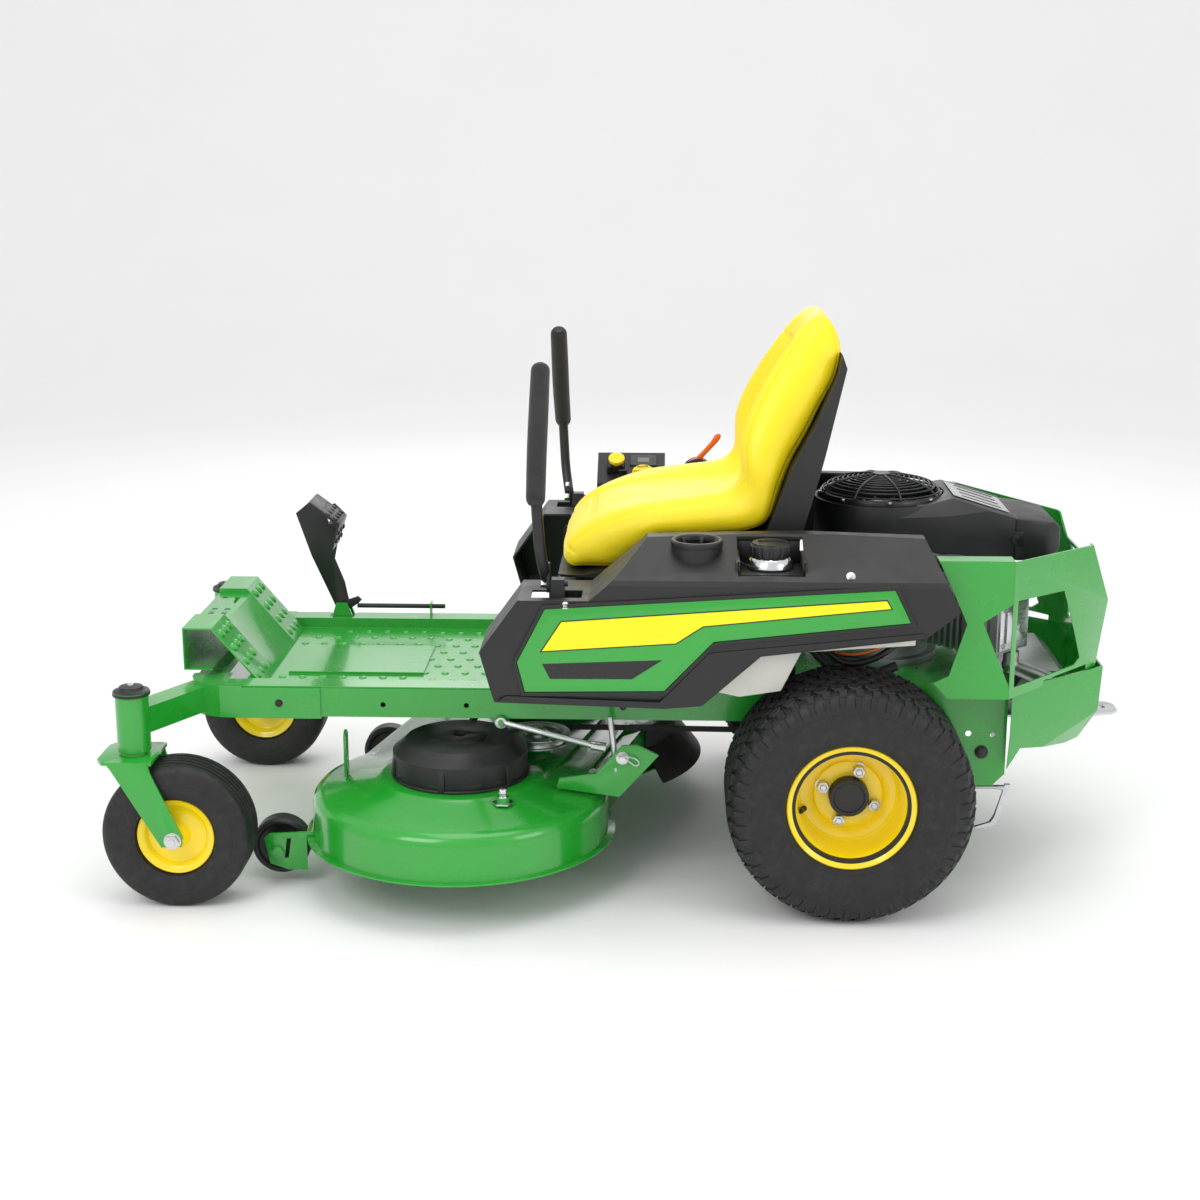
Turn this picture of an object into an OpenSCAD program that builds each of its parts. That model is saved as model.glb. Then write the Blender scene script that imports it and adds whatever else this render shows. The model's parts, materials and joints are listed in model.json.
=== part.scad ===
// Riding lawn mower with zero-turn steering.
// +X is forward, +Y is the operator's left, +Z is up.
// The origin is on the ground, on the centre line, under the drive axle.

/* [Wheels] */
// Outside diameter of the drive tyres
drive_tyre_d = 457; // [440:1:458]
// Section width of the drive tyres
drive_tyre_w = 210; // [190:1:212]
// Bead seat diameter of the drive rims
drive_rim_d = 203; // [195:1:205]
// Distance between the two drive tyre centres
drive_track = 788; // [784:1:800]
// Outside diameter of the caster tyres
caster_tyre_d = 279.4; // [270:0.1:280]
// Section width of the caster tyres
caster_tyre_w = 102; // [90:1:102]
// Bead seat diameter of the caster rims
caster_rim_d = 127; // [120:1:128]
// Distance from the drive axle to the caster pivots
pivot_x = 1330; // [1325:1:1335]
// Distance from the centre line to each caster pivot
pivot_y = 400; // [398:1:404]
// Distance that the caster axle trails behind its pivot
caster_trail = 78; // [74:1:82]

/* [Frame] */
// Outside half width of the frame over its rails
rail_y = 280; // [279:0.5:280]
// Width of a rail
rail_w = 44; // [40:1:46]
// Top of the rails above the ground
rail_top = 384; // [383:0.5:385]
// Height of a rail
rail_h = 57; // [50:1:58]
// Wall of the rails and tubes
rail_wall = 3.5; // [3:0.5:4]

/* [Mower deck] */
// Height of the deck rim above the ground
rim_z = 98; // [96:0.5:99]
// Radius of each deck lobe at its skirt
lobe_r = 286; // [285:0.5:287]
// Distance from the centre line to each spindle
spindle_y = 262; // [261:0.5:263]
// Distance from the drive axle to the left spindle
left_spindle_x = 735; // [733:1:737]
// Distance that the right spindle sits behind the left one
stagger = 130; // [126:1:134]
// Tip to tip length of a blade
blade_l = 532; // [500:1:534]
// Steel thickness of the deck
deck_t = 3; // [2.5:0.5:3.5]
// Outside diameter of the gauge wheels
gauge_d = 112; // [108:1:112]

/* [Seat] */
// Width of the seat
seat_w = 470; // [440:1:480]

/* [Controls] */
// Diameter of the foam grips
grip_d = 35; // [30:1:38]
// Diameter of the lever tubes
lever_d = 21; // [18:1:23]
// Length of a foam grip
grip_l = 262; // [250:1:265]

/* [Engine] */
// Distance that the crankshaft sits behind the drive axle
crank_back = 85; // [83:1:87]
// Radius of the fan guard
guard_r = 117; // [112:1:118]

/* [Hidden] */
$fn = 48;
clearance = 0.3;
running = 0.05;
axle_z = drive_tyre_d / 2;
drive_y = drive_track / 2;
caster_z = caster_tyre_d / 2;
caster_x = pivot_x - caster_trail;
rail_bottom = rail_top - rail_h;
rail_in = rail_y - rail_w;
right_spindle_x = left_spindle_x - stagger;
crank_x = -crank_back;
belt_z = 236;
deck_top = 205;
ring_top = 213;
skirt_top = 166;
plate = 4;

// ---------- shared shapes ----------

// A block between two corners
module block(low, high) {
  translate(low)
    cube(high - low);
}

// A side outline (X, Z) that runs from y0 to y1
module side_plate(outline, y0, y1) {
  translate([0, y1, 0])
    rotate([90, 0, 0])
      linear_extrude(y1 - y0)
        polygon(outline);
}

// A cross outline (Y, Z) that runs from x0 to x1
module cross_plate(outline, x0, x1) {
  translate([x0, 0, 0])
    rotate([90, 0, 90])
      linear_extrude(x1 - x0)
        polygon(outline);
}

// A plan outline (X, Y) that runs from z0 to z1
module plan_plate(outline, z0, z1) {
  translate([0, 0, z0])
    linear_extrude(z1 - z0)
      polygon(outline);
}

// A round bar between two points
module bar(a, b, r) {
  v = b - a;
  translate(a)
    rotate([0, acos(v[2] / norm(v)), atan2(v[1], v[0])])
      cylinder(r = r, h = norm(v));
}

// A round bar through a list of points, with ball corners
module bent_bar(route, r) {
  for (i = [0 : len(route) - 2])
    bar(route[i], route[i + 1], r);
  for (i = [1 : len(route) - 2])
    translate(route[i])
      sphere(r = r * 1.15);
}

// A cylinder along Y, from y0 to y1
module y_pin(x, z, r, y0, y1) {
  translate([x, y1, z])
    rotate([90, 0, 0])
      cylinder(r = r, h = y1 - y0);
}

// A cylinder along X, from x0 to x1
module x_pin(y, z, r, x0, x1) {
  translate([x0, y, z])
    rotate([0, 90, 0])
      cylinder(r = r, h = x1 - x0);
}

// A cylinder along Z, from z0 to z1
module z_pin(x, y, r, z0, z1) {
  translate([x, y, z0])
    cylinder(r = r, h = z1 - z0);
}

// The left one, and its mirror image on the right
module both_sides() {
  children();
  mirror([0, 1, 0])
    children();
}

// A hexagon head along Y with its outer face at y
module y_hex(x, z, across, y0, y1) {
  translate([x, y1, z])
    rotate([90, 0, 0])
      cylinder(r = across / sqrt(3), h = y1 - y0, $fn = 6);
}

// ---------- frame ----------

frame_green = "#3fb14a";
rear_x = -300;
rail_front_x = 1160;
pedal_pivot = [1045, -262, 405];
pedal_pin_r = 8;
rod_pivot = [653, 289, 322];

// A hollow rectangular tube along X
module rail_tube(y0, y1) {
  difference() {
    block([rear_x, y0, rail_bottom], [rail_front_x, y1, rail_top]);
    block([rear_x - 1, y0 + rail_wall, rail_bottom + rail_wall],
      [rail_front_x + 1, y1 - rail_wall, rail_top - rail_wall]);
    for (x = [420, 720, 880])
      y_pin(x, 352, 5, y0 - 1, y1 + 1);
  }
}

// The two rails, their cross tubes, the engine plate and the rear plate
module frame_rails() {
  cross_top = 357;
  color(frame_green) {
    both_sides()
      rail_tube(rail_in, rail_y);
    for (x = [600, 1000])
      difference() {
        block([x, -rail_in, rail_bottom], [x + 40, rail_in, cross_top]);
        block([x + 3, -rail_in - 1, rail_bottom + 3], [x + 37, rail_in + 1, cross_top - 3]);
      }
    difference() {
      block([rear_x, -rail_y, rail_top], [90, rail_y, rail_top + 6]);
      z_pin(crank_x, 0, 45, rail_top - 1, rail_top + 7);
    }
    difference() {
      block([rear_x - 8, -rail_in, 262], [rear_x - 2, rail_in, rail_top]);
      x_pin(0, 320, 30, rear_x - 9, rear_x);
    }
    block([rear_x - 2, -rail_in, rail_bottom], [rear_x + 20, rail_in, rail_top]);
    both_sides()
      draft_hanger();
    deck_hanger_plate();
    pedal_ears();
  }
}

// The tab under a rail that holds the front of a draft rod
module draft_hanger() {
  pin_r = 5;
  side_plate([[638, 328], [638, 318], [646, 310], [660, 310], [668, 318], [668, 328]], 272, 278);
  y_pin(rod_pivot[0], rod_pivot[2], pin_r, 277, 300);
}

// The plate under the floor that holds the front of the deck
module deck_hanger_plate() {
  side_plate([[830, 327], [830, 290], [850, 272], [975, 272], [990, 290], [1000, 327]], -3, 3);
  block([826, -3, 324], [1002, 3, 357]);
}

// Two ears on the right rail, with the pin of the lift pedal
module pedal_ears() {
  y = pedal_pivot[1];
  for (side = [-1, 1])
    translate([0, y + side * 14, 0])
      side_plate([[1022, 384], [1068, 384], [1058, 416], [1034, 416]], -3, 3);
  y_pin(pedal_pivot[0], pedal_pivot[2], pedal_pin_r, y - 15, y + 15);
}

// A curved sheet corner that wraps the front of a rail
module front_corner() {
  wall = 3.5;
  outline = [[1000, 283.5], [1160, 283.5], [1195, 280], [1228, 268], [1252, 246], [1262, 216],
    [1262, 196], [1186, 196], [1186, 232.5], [1000, 232.5]];
  difference() {
    translate([0, 0, rail_bottom - wall])
      linear_extrude(rail_h + wall)
        polygon(outline);
    translate([0, 0, rail_bottom])
      linear_extrude(rail_h + wall)
        offset(delta = -wall)
          polygon(outline);
    block([990, rail_in - 0.5, rail_bottom], [1170, rail_y, rail_top + 1]);
    block([990, rail_in - 5, rail_bottom - clearance], [1040 + clearance, rail_in, 357 + clearance]);
    y_pin(1080, 354, 5, 279, 290);
  }
  intersection() {
    translate([0, 0, rail_top])
      linear_extrude(3)
        polygon(outline);
    block([1150.5, 190, rail_top - 1], [1270, 290, rail_top + 4]);
  }
}

// A box arm from a frame corner out to its caster pivot
module front_arm() {
  start = [1236, 232];
  run = [pivot_x, pivot_y] - start;
  half = 25;
  translate([start[0], start[1], 330])
    rotate([0, 0, atan2(run[1], run[0])])
      difference() {
        block([-10, -half, 0], [norm(run) - 15, half, 50]);
        block([10, 4 - half, 4], [norm(run) - 20, half - 4, 46]);
      }
}

// The front end of the frame: corners, cross tube, arms and pivot tubes
module front_frame() {
  color(frame_green)
    difference() {
      union() {
        both_sides()
          front_corner();
        both_sides()
          front_arm();
        both_sides()
          z_pin(pivot_x, pivot_y, 31, 298, 405);
        difference() {
          block([1196, -200, rail_bottom], [1256, 200, rail_top]);
          block([1200, -201, rail_bottom + 4], [1252, 201, rail_top - 4]);
        }
      }
      both_sides()
        z_pin(pivot_x, pivot_y, 20 + running, 297, 406);
    }
}

// The dished floor between the rails
module floor_pan() {
  top = rail_top + 3;
  floor_top = 365;
  edge = 229;
  half = [[278, rail_top], [278, top], [edge, top], [edge, floor_top]];
  inner = [[edge + 3, floor_top - 3], [edge + 3, rail_top]];
  outline = concat(
    half,
    [for (i = [3 : -1 : 0]) [-half[i][0], half[i][1]]],
    [[-inner[1][0], inner[1][1]], [-inner[0][0], inner[0][1]]],
    inner);
  color(frame_green)
    difference() {
      union() {
        cross_plate(outline, 566, 1150);
        block([822, -75, floor_top], [1092, 122, floor_top + 5]);
        block([848, -263, top - 1], [852, -237, 419]);
      }
      x_pin(pedal_pivot[1] + 12, 410, 5 + clearance, 840, 860);
      block([1018, -290, rail_top - 1], [1072, -240, top + 1]);
    }
}

// The bent sheet that the feet rest on
module foot_rest() {
  half_w = 214;
  recess = 105;
  slope = 77 / 92;
  function sheet(top) = [
    [1222, 398], [1278, 398], [1278, top], [1220 - (482 - top) * slope, top],
    [1220 - 117 * slope, 365.2], [1224 - 117 * slope, 365.2],
    [1221.5 - (482 - top) * slope, top - 3], [1275, top - 3], [1275, 401], [1222, 401]];
  color(frame_green)
    difference() {
      union() {
        both_sides()
          side_plate(sheet(482), recess, half_w);
        side_plate(sheet(472), -recess, recess);
        both_sides()
          side_plate([[1278, 468], [1278, 482], [1220, 482], [1208, 468]], recess, recess + 3);
      }
      for (x = [1226, 1252], y = [-46, 46])
        block([x, y - 26, 460], [x + 11, y + 26, 490]);
    }
}

// ---------- rear body ----------

panel_x = -288;
panel_y = 386;

// One side: the upper panel, its flange and ledge, and the plate below
module rear_panel_side() {
  upper = [[-152, 668], [panel_x, 668], [panel_x, 588], [-236, 553], [panel_x, 432],
    [panel_x, 408], [-178, 408], [-150, 438], [-178, 452], [-207, 550], [-190, 588]];
  lower = [[-150, 408], [-308, 408], [-308, 228], [-285, 204], [-215, 204], [-170, 300],
    [-150, 330]];
  side_plate(upper, panel_y - plate, panel_y);
  side_plate([[-152, 664], [-152, 668], [panel_x, 668], [panel_x, 664]], 345, panel_y);
  side_plate([[panel_x, 408], [panel_x, 412], [-180, 412], [-180, 408]], 281, panel_y);
  difference() {
    side_plate(lower, 280 + clearance, 283);
    y_pin(-236, 308, 6, 270, 290);
    y_pin(-282, 306, 5, 270, 290);
  }
  y_pin(-262, 272, 8, 283, 285);
}

module rear_panels() {
  color(frame_green)
    both_sides()
      rear_panel_side();
}

// A thin plan slice of the wrap-round bumper: side corners, then rear corners
module wrap_slice(front_y, back_x, back_y, front_x, z, inset) {
  translate([0, 0, z])
    linear_extrude(0.1)
      polygon([[front_x, front_y - inset], [back_x + inset, back_y - inset * 0.4],
        [back_x + inset, inset * 0.4 - back_y], [front_x, inset - front_y]]);
}

// The upper wrap, widest at its middle
module upper_wrap(inset) {
  front_x = panel_x - clearance;
  hull() {
    wrap_slice(panel_y, -470, 168, front_x, 668, inset);
    wrap_slice(panel_y, -511, 160, front_x, 542, inset);
    wrap_slice(panel_y, -494, 160, front_x, 408.5, inset);
  }
}

// The lower bumper, tucked in at its foot
module lower_wrap(inset) {
  front_x = -308 - clearance;
  hull() {
    wrap_slice(318, -510, 160, front_x, 408, inset);
    wrap_slice(318, -505, 160, front_x, 318, inset);
    wrap_slice(300, -458, 150, front_x, 240, inset);
  }
}

// The rear bumper, open at the sides and back for the engine
module rear_bumper() {
  front = panel_x + 1;
  color(frame_green) {
    difference() {
      upper_wrap(0);
      upper_wrap(plate);
      side_plate([[front, 700], [front, 667], [-480, 650], [-600, 640], [-600, 700]], -400, 400);
      block([-560, -150, 600], [-440, 150, 700]);
      side_plate([[-299, 428], [-299, 592], [-404, 586], [-452, 440], [-440, 428]], -400, -150);
      side_plate([[-299, 428], [-299, 592], [-404, 586], [-452, 440], [-440, 428]], 150, 400);
      block([-560, -118, 440], [-440, 118, 590]);
      block([-470, -300, 400], [panel_x + 1, 300, 420]);
    }
    difference() {
      lower_wrap(0);
      lower_wrap(plate);
      side_plate([[-300, 200], [-300, 232], [-334, 282], [-440, 258], [-600, 272], [-600, 200]],
        -400, 400);
      block([-560, -61, 200], [-440, 61, 290]);
    }
  }
}

// The plate that a small trailer is pinned to
module hitch_plate() {
  outline = [[rear_x - 8.3, -60], [rear_x - 8.3, 60], [-480, 60], [-566, 34], [-578, 20],
    [-578, -20], [-566, -34], [-480, -60]];
  color("#8b9094")
    difference() {
      plan_plate(outline, 270, 276);
      z_pin(-548, 0, 9.6, 260, 290);
    }
}

// ---------- fenders and panels ----------

fender_in = 300;
fender_out = 458;
plastic = 4;
cup_at = [285, 367];
neck_at = [152, 368];
lever_slot = [[492, 378], [584, 434]];
fender_side = [[676, 509], [650, 414], [342, 405], [275, 411], [169, 506], [-123, 541],
  [-184, 590], [-132, 697], [100, 704], [375, 697], [478, 606], [606, 606]];
fender_section = [[fender_in, 705], [322, 702], [438, 654], [453, 643], [fender_out, 634],
  [fender_out, 430], [448, 400], [fender_in, 400]];
throttle_at = [275, 320, 700];

// The solid that a fender is cut from; grow is negative for its inside
module fender_form(grow, y_in) {
  intersection() {
    translate([0, 470, 0])
      rotate([90, 0, 0])
        linear_extrude(470 - y_in)
          offset(delta = grow)
            polygon(fender_side);
    translate([-200, 0, 0])
      rotate([90, 0, 90])
        linear_extrude(900)
          union() {
            offset(delta = grow)
              polygon(fender_section);
            if (grow < 0)
              translate([-12, 0])
                offset(delta = grow)
                  polygon(fender_section);
          }
  }
}

// The hollow shell of one fender, open below and towards the frame
module fender_shell() {
  difference() {
    fender_form(0, fender_in);
    fender_form(-plastic, fender_in - 10);
    intersection() {
      translate([0, 0, -9])
        fender_form(-plastic, fender_in - 10);
      block([-300, 280, 350], [700, 442, 640]);
    }
    block([lever_slot[0][0], lever_slot[0][1], 590], [lever_slot[1][0], lever_slot[1][1], 620]);
  }
}

// The left fender has the cup holder and the fuel filler
module fender_left() {
  recess = [[92, 330], [212, 426]];
  color("#3a3a3c") {
    difference() {
      union() {
        fender_shell();
        z_pin(cup_at[0], cup_at[1], 46, 634, 697);
        block([recess[0][0] - 4, recess[0][1] - 4, 646], [recess[1][0] + 4, recess[1][1] + 4, 672]);
      }
      z_pin(cup_at[0], cup_at[1], 38, 638, 720);
      block([recess[0][0], recess[0][1], 650], [recess[1][0], recess[1][1] + 30, 720]);
      z_pin(neck_at[0], neck_at[1], 35, 600, 700);
      y_pin(-60, 600, 4, 450, 470);
    }
  }
}

// The right fender has the slot of the throttle lever
module fender_right() {
  color("#3a3a3c")
    mirror([0, 1, 0])
      difference() {
        fender_shell();
        block([throttle_at[0] - 33, throttle_at[1] - 10, 660],
          [throttle_at[0] + 33, throttle_at[1] + 10, 730]);
        block([352, 311, 640], [486, 405, 720]);
      }
}

// The painted inserts on the outside of the fenders
module side_panels() {
  outline = [[557, 591], [-66, 631], [-96, 571], [254, 533], [342, 440], [594, 436], [608, 492]];
  color(frame_green)
    both_sides()
      side_plate(outline, fender_out, fender_out + 2.5);
}

// The control pod on the right fender, with a face that leans to the operator
face_low = [-316, 672];
face_high = [-402, 724];
face_dir = (face_high - face_low) / norm(face_high - face_low);
face_normal = [-face_dir[1], face_dir[0]] * -1;
face_tilt = atan2(face_normal[0], face_normal[1]);

// Places children on the console face: x, and distance up the face
module on_face(x, up) {
  p = face_low + face_dir * up;
  translate([x, p[0], p[1]])
    rotate([-face_tilt, 0, 0])
      children();
}

module console() {
  color("#444648")
    difference() {
      union() {
        cross_plate([[-318, 607], face_low, face_high, [-416, 716], [-416, 607]], 345, 492);
        on_face(392, 72)
          translate([-20, -12, -1])
            cube([40, 24, 3]);
      }
      mirror([0, 1, 0])
        fender_form(clearance, fender_in - 10);
      on_face(450, 42)
        cylinder(r = 7 + running, h = 160, center = true);
      on_face(392, 28)
        cylinder(r = 5 + running, h = 100, center = true);
      on_face(436, 16)
        cylinder(r = 4 + running, h = 44, center = true);
    }
}

// The tank in the left fender, with its filler neck
module fuel_tank() {
  outline = [[-110, 612], [-110, 520], [95, 505], [130, 432], [205, 420], [300, 440], [420, 440],
    [430, 452], [430, 560], [340, 612]];
  color("#e8e8e2") {
    side_plate(outline, 306, 426);
    difference() {
      z_pin(neck_at[0], neck_at[1], 31, 612, 668);
      z_pin(neck_at[0], neck_at[1], 26, 620, 670);
    }
  }
}

module fuel_cap() {
  color("#2c2c2e")
    difference() {
      union() {
        z_pin(neck_at[0], neck_at[1], 37, 672, 692);
        z_pin(neck_at[0], neck_at[1], 33, 692, 697);
      }
      z_pin(neck_at[0], neck_at[1], 31 + clearance, 671, 684);
      for (i = [0 : 11])
        translate([neck_at[0], neck_at[1], 0])
          rotate([0, 0, i * 30])
            translate([39, 0, 671])
              cylinder(r = 4, h = 22);
    }
}

// ---------- controls ----------

yoke_pivot = [538, 402, 575];
arm_pivot = [556, 402, 624];
lever_bend = [566, 430, 686];
grip_low = [572, 445, 792];
grip_lean = 36;
lean_dir = [0, -sin(grip_lean), cos(grip_lean)];
grip_high = grip_low + grip_l * lean_dir;

// The black sheet structure under the seat, with the battery and fender brackets
module seat_support() {
  pin = 10;
  color("#2b2b2d") {
    both_sides()
      difference() {
        side_plate([[96, 387], [96, 560], [190, 577], [290, 577], [330, 548], [505, 548],
          [556, 548], [556, 387]], 228, 232);
        side_plate([[150, 410], [150, 530], [280, 530], [280, 410]], 227, 233);
      }
    block([300, -228, 544], [556, 228, 548]);
    block([552, -228, 387], [556, 228, 544]);
    block([96, -278, 384.3], [560, 278, 387.3]);
    block([340, -90, 387.3], [500, 90, 530]);
    both_sides() {
      side_plate([[512, 500], [512, 584], [520, 592], [556, 592], [562, 584], [562, 500]], 244, 250);
      block([512, 232, 500], [556, 246, 530]);
      y_pin(yoke_pivot[0], yoke_pivot[2], pin, 249, 440);
      side_plate([[510, 548], [500, 560], [500, 576], [514, 576], [520, 548]], 120, 126);
      y_pin(seat_hinge[0], seat_hinge[2], 5, 104, 124);
      side_plate([[185, 565], [185, 577], [215, 577], [215, 565]], 120, 228);
      block([440, 232, 570], [462, fender_out - plastic - clearance, 592]);
      block([440, 228, 540], [462, 240, 592]);
      block([92, 240, 387.3], [112, 246, 636]);
      block([92, 240, 616], [112, 430, 636]);
    }
  }
}

seat_hinge = [507, 0, 569];

// The plate that tips forward and carries the seat rails
module seat_slider() {
  rail_half = 110;
  color("#55585b")
    difference() {
      union() {
        block([195, -150, 578.5], [496, 150, 584]);
        both_sides() {
          side_plate([[480, 584], [492, 562], [515, 560], [517, 578], [496, 584]], 106, 118);
          block([200, rail_half - 14, 584], [470, rail_half + 14, 589.5]);
        }
      }
      both_sides()
        y_pin(seat_hinge[0], seat_hinge[2], 5 + running, 100, 120);
    }
}

// The bracket that turns fore and aft on its shaft
module lever_yoke() {
  difference() {
    union() {
      block([524, 390, 560], [549.7, 414, 634]);
      y_pin(yoke_pivot[0], yoke_pivot[2], 17, 384, 422);
      x_pin(arm_pivot[1], arm_pivot[2], 5, 518, 566);
      x_pin(arm_pivot[1], arm_pivot[2], 8, 563.3, 567);
    }
    y_pin(yoke_pivot[0], yoke_pivot[2], 10 + running, 380, 430);
  }
}

// The lever tube and its foam grip
module steering_lever() {
  r = lever_d / 2;
  difference() {
    union() {
      x_pin(arm_pivot[1], arm_pivot[2], 11, 550, 563);
      bent_bar([arm_pivot + [0.5, 3, 4], lever_bend, grip_low], r * 0.9);
      bar(grip_low + [0, 4, -6], grip_high, grip_d / 2);
      bar(grip_high - 6 * lean_dir, grip_high + 8 * lean_dir, grip_d / 2 - 4);
    }
    x_pin(arm_pivot[1], arm_pivot[2], 5 + running, 540, 575);
    block([530, 380, 600], [549.9, 425, 660]);
    block([563.1, 385, 600], [580, 420, 640]);
  }
}

module lever_yoke_left() {
  color("#222224")
    lever_yoke();
}

module lever_yoke_right() {
  color("#222224")
    mirror([0, 1, 0])
      lever_yoke();
}

module lever_left() {
  color("#262628")
    steering_lever();
}

module lever_right() {
  color("#262628")
    mirror([0, 1, 0])
      steering_lever();
}

// The foot pedal that raises the deck
module lift_pedal() {
  y = pedal_pivot[1];
  arm = [[1031, 413], [1040, 460], [1060, 512], [1068, 585], [1092, 652], [1141, 612], [1110, 518],
    [1061, 405], [1052, 392]];
  color("#2a2a2c")
    difference() {
      union() {
        side_plate(arm, y - 3, y + 3);
        y_pin(pedal_pivot[0], pedal_pivot[2], 15, y - 8, y + 8);
        side_plate([[1040, 418], [1012, 428], [1004, 420], [1012, 412], [1036, 396]], y - 3, y + 3);
        side_plate([[1094, 656], [1088, 660], [1026, 614], [1044, 556], [1049, 558], [1032, 611]],
          y + 24, y + 118);
        side_plate([[1060, 512], [1068, 585], [1062, 632], [1056, 634], [1034, 612], [1050, 560]],
          y - 3, y + 3);
        block([1038, y - 3, 592], [1062, y + 60, 602]);
      }
      y_pin(pedal_pivot[0], pedal_pivot[2], pedal_pin_r + running, y - 30, y + 30);
    }
}

// The rod that runs back from the pedal to the lift shaft
module pedal_rod() {
  y = pedal_pivot[1];
  color("#2a2a2c")
    x_pin(y + 12, 410, 5, 820, 1012);
}

module pto_knob() {
  color("#f2c81e")
    on_face(450, 42) {
      translate([0, 0, -24])
        cylinder(r = 7, h = 46);
      translate([0, 0, 22])
        cylinder(r1 = 10, r2 = 17, h = 7);
      translate([0, 0, 29])
        cylinder(r = 17, h = 6);
    }
}

module height_dial() {
  color("#f2c81e")
    on_face(392, 28) {
      translate([0, 0, -12])
        cylinder(r = 5, h = 13);
      translate([0, 0, 1])
        cylinder(r = 23, h = 8);
      translate([-21, -4, 9])
        cube([42, 8, 8]);
    }
}

module ignition_key() {
  color("#303032")
    on_face(436, 16) {
      translate([0, 0, -10])
        cylinder(r = 4, h = 12);
      translate([0, 0, 2])
        cylinder(r = 8, h = 4);
      translate([-9, -2, 6])
        cube([18, 4, 18]);
    }
}

module throttle_lever() {
  c = [throttle_at[0], -throttle_at[1], throttle_at[2]];
  color("#f06e14") {
    y_pin(c[0], c[2], 27, c[1] - 6, c[1] + 6);
    side_plate([[c[0] - 8, c[2] + 20], [c[0] - 46, c[2] + 60], [c[0] - 50, c[2] + 74],
      [c[0] - 40, c[2] + 76], [c[0] - 32, c[2] + 66], [c[0] + 8, c[2] + 22]], c[1] - 5, c[1] + 5);
  }
}

// A release rod of one transaxle, with its bent handle
module bypass_rod() {
  r = 4;
  y = 250;
  bar([-320, y, 190], [-112, y, 190], r);
  side_plate([[-316, 196], [-326, 196], [-304, 112], [-264, 100], [-261, 108], [-296, 120]],
    y - r, y + r);
}

module bypass_rod_left() {
  color("#c2c5c8")
    bypass_rod();
}

module bypass_rod_right() {
  color("#c2c5c8")
    mirror([0, 1, 0])
      bypass_rod();
}

// ---------- seat ----------

pad_side = [[504, 598], [546, 600], [557, 622], [552, 650], [524, 678], [460, 710], [318, 742],
  [222, 752], [203, 770], [208, 830], [192, 900], [158, 982], [88, 1084], [63, 1094], [36, 1078],
  [13, 1022], [21, 973], [64, 880], [107, 805], [153, 680], [375, 665], [423, 612]];
shell_side = [[500, 593], [540, 594], [546, 599.7], [504, 597.7], [423, 611.7], [375, 664.7],
  [152.7, 679.7], [106.7, 804.7], [63.7, 879.7], [20.7, 972.7], [12.7, 1010], [4, 985], [52, 800],
  [94, 650], [118, 610], [170, 593]];
seat_front = [[-226, 590], [-235, 640], [-235, 750], [-222, 830], [-178, 960], [-138, 1070],
  [-112, 1100], [112, 1100], [138, 1070], [178, 960], [222, 830], [235, 750], [235, 640],
  [226, 590]];

// The cushion and backrest, dished between its side bolsters
module seat_pad() {
  seat_scale = seat_w / 470;
  dish = [[575, 690], [470, 696], [318, 718], [240, 724], [226, 744], [190, 830], [142, 960],
    [110, 1030], [240, 1030], [300, 800], [575, 760]];
  color("#f2d40f")
    scale([1, seat_scale, 1])
      difference() {
        intersection() {
          side_plate(pad_side, -240, 240);
          cross_plate(seat_front, 0, 600);
        }
        side_plate(dish, -125, 125);
      }
}

// The pan that the cushion sits in
module seat_shell() {
  seat_scale = seat_w / 470;
  color("#2b2b2d") {
    scale([1, seat_scale, 1])
      difference() {
        intersection() {
          side_plate(shell_side, -234, 234);
          cross_plate(seat_front, 0, 600);
        }
        side_plate([[415, 590], [366, 656], [160, 672], [104, 660], [124, 618], [172, 590]],
          -226, 226);
      }
    both_sides()
      block([250, 96, 589.8], [372, 124, 660]);
  }
}

// ---------- engine ----------

engine_base = rail_top + 6;
housing_z = 640;
shaft_r = 12.7;

// One cylinder, angled back from the crank
module engine_bank() {
  reach = 305;
  translate([crank_x, 0, 0])
    rotate([0, 0, 135]) {
      difference() {
        block([70, -58, 452], [reach, 58, 566]);
        for (i = [0 : 9])
          translate([120 + i * 14, 0, 0]) {
            block([0, -60, 451], [8, -46, 567]);
            block([0, 46, 451], [8, 60, 567]);
            block([0, -60, 451], [8, 60, 462]);
            block([0, -60, 556], [8, 60, 567]);
          }
      }
      block([reach, -50, 458], [reach + 24, 50, 560]);
      for (y = [-34, 34], z = [474, 544])
        translate([reach + 24, y, z])
          rotate([0, 90, 0])
            cylinder(r = 6, h = 5);
    }
}

// The crankcase and its two cylinders
module engine_block() {
  color("#6d7073")
    difference() {
      union() {
        z_pin(crank_x, 0, 122, engine_base, engine_base + 14);
        z_pin(crank_x, 0, 105, engine_base + 14, housing_z - 6);
        both_sides()
          engine_bank();
        block([-64, 84, 420], [10, 128, 520]);
        translate([-20, 140, 470])
          rotate([90, 0, 0])
            cylinder(r = 34, h = 60);
      }
      z_pin(crank_x, 0, shaft_r + running, engine_base - 1, housing_z);
    }
}

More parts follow.
